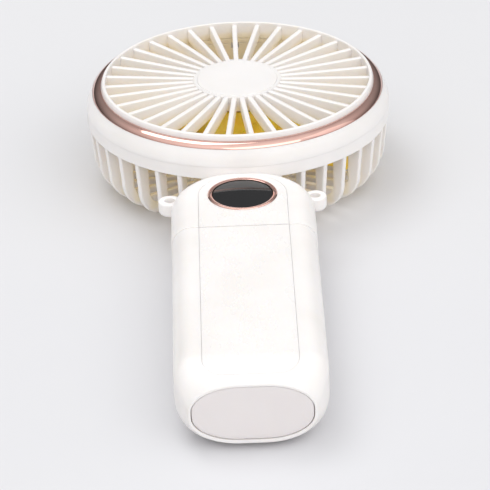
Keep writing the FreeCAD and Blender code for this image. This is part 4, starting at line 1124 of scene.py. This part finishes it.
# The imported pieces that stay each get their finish.
for part in frame["record"]["subparts"]:
    node = frame["nodes"][part["node"]]
    node.data.materials.clear()
    node.data.materials.append(finishes[part["material_slot"]])
    if node.data.polygons:
        node.data.polygons.foreach_set("material_index", [0] * len(node.data.polygons))

# The floor's paper, and the room's light from each side with the span over which it comes in.
stage = {"floor": tone(226, 226, 228), "floorShade": tone(223, 223, 226), "mottle": 3.0, "rough": 0.7,
         "size": 6.0, "squares": 4, "skyline": 0.16, "sky": 0.94, "skySpan": (0.0, 0.85), "behind": 0.55,
         "behindSpan": (0.1, 0.8), "front": 0.36, "frontSpan": (0.3, -0.8), "side": 0.02,
         "sideSpan": (-0.5, 0.5), "under": 0.6, "underSpan": (-0.02, -0.3), "aim": (0, -0.06, 0)}
lamps = {"key": {"place": (-0.30, 0.22, 0.95), "size": (0.6, 0.6), "watts": 2.45},
         "front": {"place": (0.35, -0.95, 0.85), "size": (1.2, 0.7), "watts": 2.8},
         "side": {"place": (0.8, -0.1, 0.5), "size": (0.5, 0.8), "watts": 0.5}}


# The floor's underside lets the view and the light through.
def seenFromBelow(paint):
    out = [node for node in paint.tree.nodes if node.type == "OUTPUT_MATERIAL"][0]
    top = Wire(paint, out.inputs["Surface"].links[0].from_socket)
    side = paint.node("ShaderNodeNewGeometry", output="Backfacing")
    clear = paint.node("ShaderNodeBsdfTransparent")
    both = paint.node("ShaderNodeMixShader", None, [side, top, clear])
    paint.tree.links.new(both.socket, out.inputs["Surface"])


# A pale room, brighter overhead and in front of the fan than behind it.
def makeWorld():
    s = stage
    world = bpy.data.worlds.new("studio")
    bpy.context.scene.world = world
    paint = Paint(world)
    x, y, z = paint.split(paint.node("ShaderNodeTexCoord", output="Generated"))
    level = z.ramp(*s["skySpan"], s["skyline"], s["sky"]) * y.ramp(*s["behindSpan"], 1.0, s["behind"])
    level = level + s["front"] * y.ramp(*s["frontSpan"])
    level = level + s["side"] * x.ramp(*s["sideSpan"])
    level = level + s["under"] * z.ramp(*s["underSpan"])
    light = paint.node("ShaderNodeBackground", None, {"Color": (1, 1, 1, 1), "Strength": level})
    out = paint.tree.nodes.new("ShaderNodeOutputWorld")
    paint.tree.links.new(light.socket, out.inputs["Surface"])


def makeStage():
    letGo()
    bpy.ops.mesh.primitive_grid_add(x_subdivisions=stage["squares"], y_subdivisions=stage["squares"],
                                    size=stage["size"], location=(0, 0, 0))
    floor = bpy.context.object
    floor.name = "floor"
    paint = newPaint("floorPaper")
    colour = paint.mix(paint.noise(stage["mottle"]).ramp(*spread), stage["floor"], stage["floorShade"])
    floor.data.materials.append(paint.surface(Base_Color=colour, Roughness=stage["rough"]))
    seenFromBelow(paint)


def addLamp(name, place, size, watts):
    data = bpy.data.lights.new(name, "AREA")
    data.shape = "RECTANGLE"
    data.size, data.size_y = size
    data.energy = watts
    lamp = bpy.data.objects.new(name, data)
    bpy.context.scene.collection.objects.link(lamp)
    lamp.location = place
    aim = Vector(stage["aim"]) - Vector(place)
    lamp.rotation_euler = aim.to_track_quat("-Z", "Y").to_euler()


makeStage()
makeWorld()
for name, lamp in lamps.items():
    addLamp(name, **lamp)
bpy.context.scene.view_settings.view_transform = "Standard"
print("stage set")
